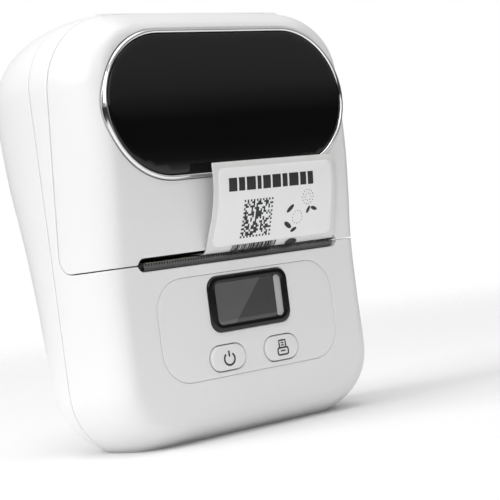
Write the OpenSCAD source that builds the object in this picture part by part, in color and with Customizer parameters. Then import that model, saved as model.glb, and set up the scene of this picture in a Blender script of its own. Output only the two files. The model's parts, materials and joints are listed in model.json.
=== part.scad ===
// Pocket thermal label printer: upright white case with a flip-up lid,
// drop-in label roll, spring-loaded print head and geared platen drive.
// Millimetres. +Z up, -Y is the front, origin at the middle of the flat base.

/* [Case] */
// Overall width of the case
case_w = 87; // [80:1:94]
// Overall height of the case
case_h = 109; // [104:1:116]
// Corner radius of the case seen from the front
corner_r = 18; // [14:1:22]
// Wall thickness of the mouldings
wall = 2; // [1.6:0.1:2.4]
// How far the front face rolls back at its edge
front_edge = 8; // [6:0.5:12]
// How far the rear face rolls forward at its edge
rear_edge = 7; // [5:0.5:10]
// How much the top edge falls from the middle to the corners
crown = 1.2; // [0:0.1:2.5]

/* [Lid] */
// Height of the parting line under the lid
lid_z = 45.2; // [44:0.2:46]
// Gap round the lid
lid_gap = 0.3; // [0.25:0.05:0.4]
// Height of the middle of the black panel
panel_z = 84; // [82:0.5:85]
// Radius of the ends of the black panel
panel_r = 18.3; // [16:0.1:18.5]
// Half length of the black panel
panel_half = 37.8; // [34:0.2:38]
// Width of the bright ring round the black panel
ring_w = 1.5; // [1.0:0.1:2]

/* [Label slot] */
// Half length of the label slot
slot_half = 32; // [31:0.5:33]
// Height of the label slot
slot_h = 3.4; // [3:0.1:3.6]
// Teeth along the tear bar
teeth = 80; // [40:1:90]

/* [Controls] */
// Half width of the control panel
ctl_half = 28.3; // [27:0.1:29]
// Lower edge of the control panel
ctl_z0 = 15; // [13:0.5:15.5]
// Upper edge of the control panel
ctl_z1 = 41; // [40.6:0.1:41.2]
// Spacing of the two buttons
btn_pitch = 17.4; // [15:0.2:20]
// Height of the buttons
btn_z = 19.8; // [19:0.1:20.4]
// Travel of the two front buttons
btn_travel = 0.5; // [0.3:0.1:0.5]

/* [Label roll] */
// Outer radius of the label roll
roll_r = 18; // [12:0.5:18]
// Width of the label backing
web_w = 43; // [30:1:43]
// Right-hand edge of the label backing
web_x1 = 31; // [30.5:0.1:31]

/* [Drive] */
// Gear module
gear_m = 0.5; // [0.5:0.1:0.5]
// Teeth on the platen gear
platen_t = 18; // [18:1:18]
// Teeth on the idler gear
idler_t = 28; // [28:1:28]
// Teeth on the motor pinion
pinion_t = 10; // [10:1:10]

/* [Hidden] */
$fn = 48;

white = [0.95, 0.95, 0.94];
cream = [0.86, 0.86, 0.85];
black = [0.03, 0.03, 0.035];
steel = [0.72, 0.73, 0.75];
grey = [0.35, 0.36, 0.38];
paper = [0.97, 0.97, 0.96];

aw = case_w / 2;
seam_y = 2;             // the case parting plane lies this far behind the origin
base_ext = 1.6;         // the rounded form runs this far below the flat base

// depth of the front face ahead of the parting plane, [height, depth]
FRONT = [[-2, 18.4], [5, 19.4], [15, 20.0], [30, 19.9], [45, 20.3], [57, 21.9], [70, 23.3], [85, 23.5], [98, 23.0], [120, 22.0]];
// depth of the rear face behind the parting plane, [height, depth]
REAR = [[-2, 10.8], [10, 12.4], [25, 15.6], [40, 17.6], [55, 20.4], [70, 24.2], [85, 25.9], [98, 24.8], [120, 23.0]];

// smooth curve through a table of [height, value]
function seg(t, z, i = 0) = (i >= len(t) - 2 || z < t[i + 1][0]) ? i : seg(t, z, i + 1);
function slope(t, i) = let(p = max(i - 1, 0), q = min(i + 1, len(t) - 1)) (t[q][1] - t[p][1]) / (t[q][0] - t[p][0]);
function prof(t, z) = let(i = seg(t, z), h = t[i + 1][0] - t[i][0], s = (z - t[i][0]) / h,
    a = t[i][1], b = t[i + 1][1], m = slope(t, i) * h, n = slope(t, i + 1) * h)
    (2 * s * s * s - 3 * s * s + 1) * a + (s * s * s - 2 * s * s + s) * m + (3 * s * s - 2 * s * s * s) * b + (s * s * s - s * s) * n;
function front_y(z) = -prof(FRONT, z);
function rear_y(z) = prof(REAR, z);

// distance inside a rounded rectangle, half width a, heights z0 to z1, corner r
function inset(x, z, a, z0, z1, r) = let(qx = abs(x) - (a - r), qz = abs(z - (z0 + z1) / 2) - ((z1 - z0) / 2 - r))
    r - (sqrt(pow(max(qx, 0), 2) + pow(max(qz, 0), 2)) + min(max(qx, qz), 0));
function roll_off(t) = let(u = max(0, min(1, t))) pow(max(0, 1 - pow(1 - u, 2.1)), 1 / 2.1);
function half_w(z, a, z0, z1, r) = let(q = abs(z - (z0 + z1) / 2) - ((z1 - z0) / 2 - r))
    q <= 0 ? a : a - r + sqrt(max(0, r * r - q * q));

// one half of a pillow form on the parting plane; s = -1 is the front, 1 the rear
module pillow(s, a, z0, z1, r, edge, tab, thin, EX, EZ, MZ) {
    xs = concat([for (e = EX) -1 + e / a], [-0.35, 0, 0.35], [for (i = [len(EX) - 1:-1:0]) 1 - EX[i] / a]);
    zs = concat([for (e = EZ) z0 + e], MZ, [for (i = [len(EZ) - 1:-1:0]) z1 - EZ[i]]);
    nx = len(xs); nz = len(zs);
    pts = [for (j = [0:nz - 1]) for (k = [0:nx - 1])
        let(z = zs[j], w = half_w(z, a, z0, z1, r), x = w * xs[k],
            rim = j == 0 || j == nz - 1 || k == 0 || k == nx - 1,
            y = rim ? 0 : s * (prof(tab, z) - thin) * roll_off(inset(x, z, a, z0, z1, r) / edge))
        [x, y, z - crown * max(z, 0) / case_h * pow(x / aw, 2)]];
    skin = [for (j = [0:nz - 2]) for (k = [0:nx - 2])
        let(p = j * nx + k, q = p + 1, t = p + nx, u = t + 1)
        for (f = s < 0 ? [[p, t, u], [p, u, q]] : [[p, u, t], [p, q, u]]) f];
    rimf = concat([for (k = [0:nx - 1]) k], [for (j = [1:nz - 1]) j * nx + nx - 1],
        [for (k = [nx - 2:-1:0]) (nz - 1) * nx + k], [for (j = [nz - 2:-1:1]) j * nx]);
    rim2 = s < 0 ? rimf : [for (i = [len(rimf) - 1:-1:0]) rimf[i]];
    polyhedron(points = pts, faces = concat(skin, [rim2]), convexity = 6);
}
module outer_form(s) pillow(s, aw, -base_ext, case_h, corner_r, s < 0 ? front_edge : rear_edge, s < 0 ? FRONT : REAR, 0,
    [0, 0.2, 0.9, 2.4, 5, 8.5], [0, 0.3, 1.2, 2.8, 5, 8.5], [15, 24, 33, 43.3, 53, 63, 73, 83, 92.4]);
module inner_form(s) pillow(s, aw - wall, wall, case_h - wall, corner_r - wall, (s < 0 ? front_edge : rear_edge) - wall + 0.6, s < 0 ? FRONT : REAR, wall,
    [0, 0.55, 2.1, 4.7], [0, 0.5, 2, 4.6], [16.3, 29.7, 42.4, 56.3, 70.6, 84.7, 95.4]);

module at() translate([0, seam_y, 0]) children();
module rod(x0, x1, y, z, r, f = 48) translate([x0, y, z]) rotate([0, 90, 0]) cylinder(r = r, h = x1 - x0, $fn = f);
module ydisc(x, z, y0, y1, r, f = 48) translate([x, y0, z]) rotate([-90, 0, 0]) cylinder(r = r, h = y1 - y0, $fn = f);
module box(x0, x1, y0, y1, z0, z1) translate([x0, y0, z0]) cube([x1 - x0, y1 - y0, z1 - z0]);
// an outline in Y and Z, run along X
module along_x(x0, x1) translate([x0, 0, 0]) rotate([90, 0, 90]) linear_extrude(height = x1 - x0) children();
// an outline in X and Z, run along Y
module along_y(y0, y1) translate([0, y1, 0]) rotate([90, 0, 0]) linear_extrude(height = y1 - y0) children();
module rrect(x0, x1, z0, z1, r) {
    translate([x0, z0 + r]) square([x1 - x0, z1 - z0 - 2 * r]);
    translate([x0 + r, z0]) square([x1 - x0 - 2 * r, z1 - z0]);
    for (x = [x0 + r, x1 - r], z = [z0 + r, z1 - r]) translate([x, z]) circle(r = r, $fn = 48);
}
module stadium(x, z, h, r) {
    translate([x - h + r, z - r]) square([2 * (h - r), 2 * r]);
    for (s = [-1, 1]) translate([x + s * (h - r), z]) circle(r = r, $fn = 64);
}
// slab between two depths that follows the front face, heights z0 to z1
module face_slab(x0, x1, z0, z1, d0, d1) along_x(x0, x1) polygon(concat(
    [for (i = [0:12]) let(z = z0 + (z1 - z0) * i / 12) [front_y(z) + d0, z]],
    [for (i = [12:-1:0]) let(z = z0 + (z1 - z0) * i / 12) [front_y(z) + d1, z]]));

// ---- lid parting line, seen from the side ----
hy = -11.55;            // hinge axis
hz = 106.05;
hr = 1.9;               // hinge barrel radius
pin_r = 0.8;
seam_lo = -3.5;         // side parting line at the slot
seam_hi = hy + hr;      // and at the hinge
// the lid's side outline, grown by g on the edges it shares with the case
module lid_side(g) {
    zb = lid_z + lid_gap / 2 - g;
    r = 4;
    sl = (seam_hi - seam_lo) / (hz - lid_z);
    polygon(concat([[-45, zb], [seam_lo - r, zb]],
        [for (i = [1:8]) let(t = i * 90 / 8 - 90) [seam_lo - r + (r + g) * cos(t), lid_z + r + lid_gap / 2 + (r + g) * sin(t)]],
        [[seam_hi + g, hz]],
        [for (i = [1:9]) let(t = i * 10) [hy + (hr + g) * cos(t), hz + (hr + g) * sin(t)]],
        [[hy, 130], [-45, 130]]));
}
ear0 = 24.4; ear1 = 28.2;

// a plate-like rib between two boxes
module rib(x0, x1, y0, y1, z0, z1, X0, X1, Y0, Y1, Z0, Z1) hull() {
    box(x0, x1, y0, y1, z0, z1);
    box(X0, X1, Y0, Y1, Z0, Z1);
}
module front_shell() color(white) at() {
    difference() {
        union() {
            difference() {
                outer_form(-1);
                inner_form(-1);
                along_x(-50, 50) lid_side(lid_gap);
            }
            // screw bosses, board standoffs and their ribs
            intersection() {
                outer_form(-1);
                union() for (s = [-1, 1]) {
                    ydisc(s * 31, 12, -9, -0.15, 3.15, 24);
                    rib(s * 31 - 0.8, s * 31 + 0.8, -9, -0.15, 11, 12, s * 31 - 0.8, s * 31 + 0.8, -10.6, -0.15, 0, 1);
                    rib(s * 33 - 0.5, s * 33 + 0.5, -7, -0.15, 11.2, 12.8, s * 40 - 0.5, s * 40 + 0.5, -9, -0.15, 11.2, 12.8);
                    ydisc(s * 38.2, 90, -7.2, -0.15, 3.1, 24);
                    rib(s * 39 - 0.5, s * 39 + 0.5, -7.1, -0.15, 89.2, 90.8, s * 42 - 0.5, s * 42 + 0.5, -7.1, -0.15, 88, 92);
                    ydisc(s * 26, 9.5, -18.8, -14.0, 2.2, 24);
                    rib(s * 26 - 1, s * 26 + 1, -18.8, -14.0, 8, 9, s * 26 - 1, s * 26 + 1, -18.8, -14.0, 0, 1.5);
                }
            }
        }
        box(-60, 60, -60, 10, -10, 0);
        box(-60, 60, -0.15, 10, -10, 130);
        // lower half of the label slot, with the tear bar seat
        along_y(-40, -14) stadium(0, lid_z, slot_half, slot_h / 2);
        box(-31.35, 31.35, -19.55, -18.5, 42.6, 50);
        // control panel opening
        along_y(-40, -12) rrect(-ctl_half, ctl_half, ctl_z0, ctl_z1, 8.2);
        for (s = [-1, 1]) {
            ydisc(s * 31, 12, -10, 1, 1.12, 24);
            ydisc(s * 38.2, 90, -9, 1, 1.12, 24);
            ydisc(s * 26, 9.5, -17, -11, 0.9, 24);
        }
    }
}
// ears that hold the lid's hinge pin
module hinge_brackets() color(white) at() for (s = [-1, 1]) difference() {
    union() {
        rod(s > 0 ? ear0 : -ear1, s > 0 ? ear1 : -ear0, hy, hz, hr);
        translate([s > 0 ? ear0 : -ear1, 0, 0]) along_x(0, ear1 - ear0)
            polygon([[hy, hz - hr], [-6, 100.5], [-0.3, 100.5], [-0.3, 106.2], [-4.5, 105.8], [-8, 105.2], [hy + 1.6, 104.9], [hy, hz]]);
    }
    rod(s > 0 ? ear0 - 1 : -ear1 - 1, s > 0 ? ear1 + 1 : -ear0 + 1, hy, hz, pin_r);
}

USB = [4.2, 16];        // y and z of the charging socket
BTN2 = [7, 54];         // y and z of the lid release button

module rear_shell() color(white) at() {
    difference() {
        union() {
            difference() {
                outer_form(1);
                inner_form(1);
            }
            intersection() {
                outer_form(1);
                union() for (s = [-1, 1]) {
                    ydisc(s * 31, 12, 0.05, 30, 3.6, 24);
                    rib(s * 33 - 0.5, s * 33 + 0.5, 0.05, 30, 11.2, 12.8, s * 40 - 0.5, s * 40 + 0.5, 0.05, 30, 11.2, 12.8);
                    rib(s * 31 - 0.8, s * 31 + 0.8, 0.05, 30, 9, 10, s * 31 - 0.8, s * 31 + 0.8, 0.05, 30, 0, 1);
                    ydisc(s * 38.2, 90, 0.05, 30, 3.6, 24);
                    rib(s * 39 - 0.5, s * 39 + 0.5, 0.05, 30, 89.2, 90.8, s * 42 - 0.5, s * 42 + 0.5, 0.05, 30, 89.2, 90.8);
                    rib(s * 37.2 - 0.8, s * 37.2 + 0.8, 0.05, 30, 92, 93, s * 37.2 - 0.8, s * 37.2 + 0.8, 0.05, 30, 102, 103);
                    rib(s * 12 - 0.6, s * 12 + 0.6, 13.5, 30, 34, 35, s * 12 - 0.6, s * 12 + 0.6, 15, 30, 47, 48);
                }
            }
        }
        box(-60, 60, -10, 60, -10, 0);
        for (s = [-1, 1]) {
            ydisc(s * 31, 12, -1, 30, 1.35, 24);
            ydisc(s * 31, 12, 8, 30, 2.6, 24);
            ydisc(s * 38.2, 90, -1, 30, 1.35, 24);
            ydisc(s * 38.2, 90, 15, 30, 2.6, 24);
        }
        // charging socket and release button openings in the right-hand side
        translate([34, USB[0], USB[1]]) rotate([90, 0, 90]) linear_extrude(height = 12) {
            translate([-1.7, -3]) square([3.4, 6]);
            for (s = [-1, 1]) translate([0, s * 3]) circle(r = 1.7);
        }
        translate([34, BTN2[0], BTN2[1]]) rotate([90, 0, 90]) linear_extrude(height = 12) {
            translate([-3.2, -4]) square([6.4, 8]);
            for (s = [-1, 1]) translate([0, s * 4]) circle(r = 3.2);
        }
    }
}

PY = -13; PZ = 50.6;    // platen axis
PR = 4.2;               // platen radius
brk0 = 29.4; brk1 = 31.2;

module lid_shell() color(white) at() {
    difference() {
        union() {
            difference() {
                intersection() {
                    outer_form(-1);
                    along_x(-50, 50) lid_side(0);
                }
                inner_form(-1);
            }
            // stiffening ribs inside the side walls
            intersection() {
                outer_form(-1);
                along_x(-50, 50) lid_side(-1.5);
                union() for (s = [-1, 1], z = [62, 72, 82, 96])
                    rib(s * 41 - 0.5, s * 41 + 0.5, -17, -9.5, z - 0.6, z + 0.6, s * 40.4 - 0.2, s * 40.4 + 0.2, -14, -10.5, z - 0.4, z + 0.4);
            }
        }
        box(-60, 60, -60, 10, -10, 40);
        // room for the hinge barrel and the two ears
        rod(-ear0, ear0, hy, hz, hr + 0.12);
        for (s = [-1, 1]) {
            box(s > 0 ? ear0 - 0.3 : -ear1 - 0.3, s > 0 ? ear1 + 0.3 : -ear0 + 0.3, hy - 0.4, 0, hz - 3.4, 120);
            rod(s > 0 ? ear0 - 0.3 : -ear1 - 0.3, s > 0 ? ear1 + 0.3 : -ear0 + 0.3, hy, hz, hr + 0.35);
        }
        // upper half of the label slot
        along_y(-40, -14) stadium(0, lid_z, slot_half, slot_h / 2);
        // seat of the black panel and its ring
        along_y(-40, -20.8) stadium(0, panel_z, panel_half - 0.6, panel_r - 0.6);
    }
}
// inner moulding of the lid: hinge barrel, platen brackets and latch hook
module lid_inner_frame() color(white) at() difference() {
    union() {
        face_slab(-brk1, brk1, 55.5, 94, 3.2, 4.4);
        for (s = [-1, 1]) translate([s > 0 ? brk0 : -brk1, 0, 0]) along_x(0, brk1 - brk0)
            polygon([[-17.7, 49.2], [-15.6, 47.3], [-10.2, 47.3], [-9.4, 48.2], [-9.4, 53], [-12, 57], [-17, 62], [-18.8, 62]]);
        rod(-ear0 + 0.3, ear0 - 0.3, hy, hz, hr);
        for (x = [-20, -1, 18]) translate([x, 0, 0]) along_x(0, 2)
            polygon([[hy, hz - 1.2], [-15.2, 103.4], [-18.6, 101.2], [-19.9, 97], [-19.9, 92], [-18.6, 92], [-15, 99], [hy, hz - 1.9]]);
        translate([0, 0, 54]) linear_extrude(height = 3)
            polygon([[brk1 - 0.2, -16.4], [37.8, -16.4], [39.4, -12.2], [39.4, 3.6], [37, 3.6], [37, 2], [38, 2], [38, -12.4], [37, -14.9], [brk1 - 0.2, -14.9]]);
    }
    rod(-ear0 - 1, ear0 + 1, hy, hz, pin_r + 0.06);
    for (s = [-1, 1]) rod(s > 0 ? brk0 - 1 : -brk1 - 1, s > 0 ? brk1 + 1 : -brk0 + 1, PY, PZ, 2.6);
}

module lid_bezel() color([0.86, 0.87, 0.88]) at() difference() {
    intersection() {
        face_slab(-50, 50, 60, 108, 2.0, -0.7);
        along_y(-40, -10) stadium(0, panel_z, panel_half - 0.65, panel_r - 0.65);
    }
    along_y(-40, -10) stadium(0, panel_z, panel_half - ring_w - 0.65, panel_r - ring_w - 0.65);
}

module lid_panel() color(black) at() intersection() {
    face_slab(-50, 50, 60, 108, 1.9, -0.55);
    along_y(-40, -10) stadium(0, panel_z, panel_half - ring_w - 0.7, panel_r - ring_w - 0.7);
}

module hinge_pin() color(steel) at() rod(-ear1 + 0.4, ear1 - 0.4, hy, hz, pin_r);

SCR = [-12.34, 13.34, 26.15, 40.1];   // screen bezel: x0, x1, z0, z1
bz = btn_z;
module control_panel() color(white) at() difference() {
    intersection() {
        face_slab(-40, 40, 12, 44, 2.2, 0.0);
        along_y(-40, -10) rrect(-ctl_half + 0.2, ctl_half - 0.2, ctl_z0 + 0.2, ctl_z1 - 0.2, 8.0);
    }
    along_y(-40, -10) rrect(SCR[0] - 0.1, SCR[1] + 0.1, SCR[2] - 0.1, SCR[3] + 0.1, 3.1);
    for (s = [-1, 1]) along_y(-40, -10) stadium(s * btn_pitch / 2, bz, 6.1, 3.8);
}
module screen_bezel() color(black) at() difference() {
    intersection() {
        face_slab(-40, 40, 12, 44, 2.4, -0.35);
        along_y(-40, -10) rrect(SCR[0], SCR[1], SCR[2], SCR[3], 3);
    }
    along_y(-40, -10) rrect(SCR[0] + 2.2, SCR[1] - 2.2, SCR[2] + 2.2, SCR[3] - 2.2, 1.2);
}
module screen_glass() color([0.2, 0.21, 0.22]) at() intersection() {
    face_slab(-40, 40, 12, 44, 1.6, 0.15);
    along_y(-40, -10) rrect(SCR[0] + 2.25, SCR[1] - 2.25, SCR[2] + 2.25, SCR[3] - 2.25, 1.15);
}
module lcd_module() color(steel) at() {
    box(-11.6, 12.6, -17.3, -14.0, 26.6, 39.7);
}
module press_button(s) at() {
    along_y(front_y(bz) - 0.35, -17.7) stadium(s * btn_pitch / 2, bz, 5.8, 3.5);
    along_y(-17.7, -17.6) stadium(s * btn_pitch / 2, bz, 5.8, 3.5);
}
module power_button() color(white) press_button(-1);
module feed_button() color(white) press_button(1);

module tear_bar() color(steel) at() along_y(-19.45, -18.6) polygon(concat(
    [[31, 44.9], [31, 42.8], [-31, 42.8], [-31, 44.9]],
    [for (i = [0:teeth - 1]) for (k = [0, 1]) [-31 + 62 * (i + (k == 0 ? 0.02 : 0.5)) / teeth, k == 0 ? 44.95 : 45.7]]));

// lid release button: face, stem and catch
module release_button() color(white) at() {
    translate([39.9, BTN2[0], BTN2[1]]) rotate([90, 0, 90]) linear_extrude(height = 3.45) {
        translate([-2.95, -4]) square([5.9, 8]);
        for (s = [-1, 1]) translate([0, s * 4]) circle(r = 2.95);
    }
    box(39, 40, 3.9, 10.8, BTN2[1] - 8.6, BTN2[1] + 8.6);
    box(35.9, 39.1, 4.2, 6.2, 54.2, 56.8);
    box(35.9, 36.8, 0.2, 6.2, 54.2, 56.8);
}
// coil spring along X: centre y, z, from x0 to x1
module coil(x0, x1, y, z, r, w, turns, sides = 6, steps = 9) {
    n = turns * steps;
    pts = [for (i = [0:n]) let(a = 360 * i / steps, x = x0 + w + (x1 - x0 - 2 * w) * i / n)
        for (k = [0:sides - 1]) let(b = 360 * k / sides, rr = r + w * cos(b))
            [x + w * sin(b), y + rr * cos(a), z + rr * sin(a)]];
    polyhedron(points = pts, faces = concat(
        [[for (k = [0:sides - 1]) k]], [[for (k = [sides - 1:-1:0]) n * sides + k]],
        [for (i = [0:n - 1]) for (k = [0:sides - 1]) let(p = i * sides + k, q = i * sides + (k + 1) % sides, t = p + sides, u = q + sides)
            for (f = [[p, t, u], [p, u, q]]) f]), convexity = 10);
}
module release_spring() color(steel) at() coil(34.5, 38.95, 9, 60, 1.3, 0.2, 4);

module screw(x, z, yh, y0) {
    ydisc(x, z, yh, yh + 1.6, 2.3);
    ydisc(x, z, y0, yh, 1.05);
}
module case_screws() color(steel) at() for (s = [-1, 1]) {
    difference() {
        screw(s * 31, 12, 8, -8.6);
        translate([s * 31, 9, 12]) rotate([-90, 0, 0]) cylinder(r = 1, h = 2, $fn = 6);
    }
    difference() {
        screw(s * 38.2, 90, 15, -7);
        translate([s * 38.2, 16, 90]) rotate([-90, 0, 0]) cylinder(r = 1, h = 2, $fn = 6);
    }
}

// ---- electronics ----
module main_board() color([0.05, 0.32, 0.18]) at() difference() {
    along_y(-13.9, -12.5) rrect(-29, 29, 6.5, 38.6, 2);
    for (s = [-1, 1]) ydisc(s * 26, 9.5, -15, -11, 1.1);
}
module board_components() color(grey) at() {
    box(-22, -12, -12.45, -11.2, 12, 22);
    box(-6, 2, -12.45, -11.5, 24, 32);
    box(8, 14, -12.45, -11.3, 12, 17);
    box(17, 25, -12.45, -9.8, 24, 30);
    for (i = [0:4]) box(-24 + i * 3.2, -22.4 + i * 3.2, -12.45, -11.6, 27, 28);
    ydisc(20, 18, -12.45, -8.6, 2.5);
    ydisc(26, 18, -12.45, -8.6, 2.5);
}
module tactile_switches() color([0.2, 0.2, 0.21]) at() for (s = [-1, 1]) {
    box(s * btn_pitch / 2 - 3, s * btn_pitch / 2 + 3, -16.4, -13.95, bz - 3, bz + 3);
    ydisc(s * btn_pitch / 2, bz, -16.95, -16.3, 1.6);
}
module battery_pack() color([0.12, 0.2, 0.42]) at() difference() {
    along_y(-4.5, 7) rrect(-25, 25, 5.5, 30, 4);
    box(-25.1, 25.1, 1, 1.5, 29.4, 31);
}
module usb_socket() color(steel) at() translate([0, USB[0], USB[1]]) difference() {
    translate([34.2, 0, 0]) rotate([90, 0, 90]) linear_extrude(height = 7.6) {
        translate([-1.55, -2.9]) square([3.1, 5.8]);
        for (s = [-1, 1]) translate([0, s * 2.9]) circle(r = 1.55);
    }
    translate([35.4, 0, 0]) rotate([90, 0, 90]) linear_extrude(height = 8) difference() {
        union() {
            translate([-1.2, -2.9]) square([2.4, 5.8]);
            for (s = [-1, 1]) translate([0, s * 2.9]) circle(r = 1.2);
        }
        translate([-0.35, -2.6]) square([0.7, 5.2]);
    }
}
module head_cable() color([0.92, 0.9, 0.82]) at() along_x(-12, 12)
    polygon([[-12.35, 33], [-12.35, 39.2], [-9.8, 40], [-4, 40], [-4, 39.75], [-9.7, 39.75], [-12.1, 39], [-12.1, 33]]);

// ---- print mechanism ----
IY = PY + 11.5 * cos(12); IZ = PZ - 11.5 * sin(12);     // idler axis
MY = IY + 9.5 * cos(57); MZ = IZ - 9.5 * sin(57);       // motor axis
HPY = -5.4; HPZ = 43.6;                                 // print head pivot
CL = [-32.8, -31.6]; CR = [33.2, 34.4];                   // side cheeks of the frame
RY = 1.5; RZ = 80;                                      // roll axis
RAIL = [17.2, 60.5];                                    // y and z of the guide rail

module cheek() polygon([[-9, 36], [-9, 58], [-15, 64], [-17.5, 72], [-18, 84], [-16, 93], [-10, 99.5], [-2, 102], [8, 101], [16, 96],
    [20, 88], [21.5, 80], [20.5, 70], [20, 63], [18.3, 56], [14, 50], [12.6, 44], [12.6, 31], [-5.2, 31], [-9, 33.5]]);
module chassis() color([0.16, 0.16, 0.17]) at() difference() {
    union() {
        for (c = [CL, CR]) translate([c[0], 0, 0]) along_x(0, c[1] - c[0]) cheek();
        box(CL[0], CR[1], -8.6, -6.6, 36, 39.3);
        box(CL[0], CR[1], -16.4, -6.6, 40.4, 41.3);
        for (x = [CL[0], CR[0]]) box(x, x + 1.2, -16.4, -6.6, 36, 41.3);
        box(CL[0], CR[1], 11.4, 12.6, 31, 36);
    }
    for (x = [CL[0], CR[0]]) {
        rod(x - 1, x + 2.2, HPY, HPZ, 0.9);
        rod(x - 1, x + 2.2, RAIL[0], RAIL[1], 1.5);
    }
    rod(-34, -31, IY, IZ, 1.0);
    rod(-34, -31, MY, MZ, 3.2);
    for (s = [-1, 1]) rod(-34, -31, MY + s * 6.2, MZ, 0.85);
    for (x = [-20, 20]) translate([x, -12, 40]) cylinder(r = 0.9, h = 2);
}
module gear_cover() color(cream) at() difference() {
    union() {
        along_x(-38, -36.8) polygon([[-8.6, 42], [-8.6, 55.6], [-6.5, 58.2], [3.5, 58.2], [8, 46], [9, 36], [4, 34.4], [-2, 36]]);
        for (p = [[6.6, 37.2], [2.4, 56.7], [-6.5, 56.6]]) rod(-36.8, -32.85, p[0], p[1], 1.1, 24);
    }
    rod(-39, -36, IY, IZ, 1.0);
}
module chassis_screws() color(steel) at() for (s = [-1, 1]) {
    rod(-33.3, -32.85, MY + s * 6.2, MZ, 1.5, 32);
    rod(-33, -30.5, MY + s * 6.2, MZ, 0.8, 24);
}
module drive_motor() color(steel) at() difference() {
    union() {
        rod(-31.55, -14.5, MY, MZ, 7.8, 64);
        rod(-33, -31.5, MY, MZ, 3.0);
        rod(-36.7, -32, MY, MZ, 0.75, 32);
        box(-31.55, -30.6, MY - 8.8, MY + 8.8, MZ - 2, MZ + 2);
    }
    for (s = [-1, 1]) rod(-34, -30, MY + s * 6.2, MZ, 0.85);
    rod(-14.9, -14, MY, MZ, 6.8, 64);
}
// spur gear along X from x0, with t teeth turned by ph, and a bore
module spur(x0, x1, y, z, t, ph, bore, lighten = 0) translate([x0, y, z]) rotate([90, 0, 90]) linear_extrude(height = x1 - x0) {
    rp = gear_m * t / 2;
    ro = rp + gear_m * 0.92;
    ri = rp - gear_m * 1.2;
    difference() {
        polygon([for (i = [0:t - 1]) for (q = [[-0.30, ri], [-0.225, rp], [-0.10, ro], [0.10, ro], [0.225, rp], [0.30, ri]])
            let(a = ph + (i + q[0]) * 360 / t) q[1] * [cos(a), sin(a)]]);
        circle(r = bore, $fn = 48);
        if (lighten > 0) for (k = [0:3]) rotate(k * 90 + 20) translate([lighten, 0]) circle(r = 1.15, $fn = 32);
    }
}
// a tooth of one gear points at a gap of the other on each line of centres
ang1 = 168;             // from the idler to the platen
ang2 = -57;             // from the idler to the motor
idler_ph = ang1;
platen_ph = (ang1 - 180) + 180 / platen_t;
idler_at2 = (ang2 - idler_ph) / (360 / idler_t);
pin_ph = (ang2 + 180) + 180 / pinion_t + (idler_at2 - round(idler_at2)) * 360 / pinion_t;
module motor_pinion() color([0.85, 0.7, 0.35]) at() spur(-36.4, -33.4, MY, MZ, pinion_t, pin_ph, 0.75);
module idler_gear() color(cream) at() {
    spur(-36.4, -33.4, IY, IZ, idler_t, idler_ph, 1.05, 4);
}
module idler_axle() color(steel) at() rod(-38, -31.6, IY, IZ, 1.0);
module platen_roller() color([0.07, 0.07, 0.075]) at() difference() {
    rod(-28.6, 28.6, PY, PZ, PR, 64);
    rod(-29, 29, PY, PZ, 1.5);
}
module platen_shaft() color(steel) at() rod(-36.4, 32.6, PY, PZ, 1.5);
module platen_gear() color(cream) at() {
    spur(-36.4, -33.4, PY, PZ, platen_t, platen_ph, 1.5);
}
module platen_bushes() color([0.75, 0.6, 0.3]) at() for (s = [-1, 1]) difference() {
    union() {
        rod(s > 0 ? brk0 : -brk1, s > 0 ? brk1 : -brk0, PY, PZ, 2.6);
        rod(s > 0 ? brk1 : -brk1 - 0.5, s > 0 ? brk1 + 0.5 : -brk1, PY, PZ, 3.1);
    }
    rod(s > 0 ? brk0 - 1 : -brk1 - 1, s > 0 ? brk1 + 1 : -brk0 + 1, PY, PZ, 1.55);
}
module print_head() color([0.9, 0.88, 0.82]) at() {
    box(-28, 28, -17.4, -8.6, 44.9, 45.75);
    difference() {
        rod(-26, 26, PY, 44.5, 1.45, 64);
        box(-30, 30, -20, 0, 40, 45.7);
    }
}
module head_heatsink() color([0.78, 0.79, 0.8]) at() difference() {
    union() {
        box(-30, 30, -17.6, -7, 43.4, 44.9);
        rod(-29, 29, HPY, HPZ, 1.6);
        box(-29, 29, -7.2, HPY, 43.4, 44.9);
        for (x = [-20, 20]) translate([x, -12, 42.7]) cylinder(r = 0.8, h = 0.8, $fn = 24);
    }
    rod(-31, 31, HPY, HPZ, 0.95);
}
module head_pivot_pin() color(steel) at() rod(CL[0], CR[1], HPY, HPZ, 0.9);
module head_springs() color(steel) at() for (x = [-20, 20]) translate([x, -12, 0]) rotate([0, -90, 0]) coil(41.35, 43.35, 0, 0, 1.5, 0.18, 3);
module paper_sensor() color(black) at() {
    translate([2, -4.4, 50.6]) rotate([38, 0, 0]) cube([8, 5, 1.6], center = true);
    translate([2, -4.6, 49.6]) rotate([38, 0, 0]) cube([12, 8, 0.6], center = true);
}

// ---- label path ----
// the label backing runs from the roll down under the platen
wd = sqrt(pow(PY - RY, 2) + pow(PZ - RZ, 2));
w_in = PR + 0.1;        // path radius round the platen
w_dir = atan2(PZ - RZ, PY - RY);
w_al = acos((roll_r + 0.1 - w_in) / wd);
w_n = w_dir + w_al;     // outward direction of the path at both circles
W0 = [RY + (roll_r + 0.1) * cos(w_n), RZ + (roll_r + 0.1) * sin(w_n)];
W1 = [PY + w_in * cos(w_n), PZ + w_in * sin(w_n)];
web_t = 0.2;
function arc(c, r, a0, a1, n) = [for (i = [0:n]) let(a = a0 + (a1 - a0) * i / n) c + r * [cos(a), sin(a)]];
module label_web() color(paper) at() along_x(web_x1 - web_w, web_x1) polygon(concat(
    [W0], arc([PY, PZ], w_in, w_n, -92, 6), [[-17.4, PZ - w_in]], [[-17.4, PZ - w_in - web_t]],
    arc([PY, PZ], w_in + web_t, -92, w_n, 6), [[W0[0] + web_t * cos(w_n), W0[1] + web_t * sin(w_n)]]));

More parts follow.
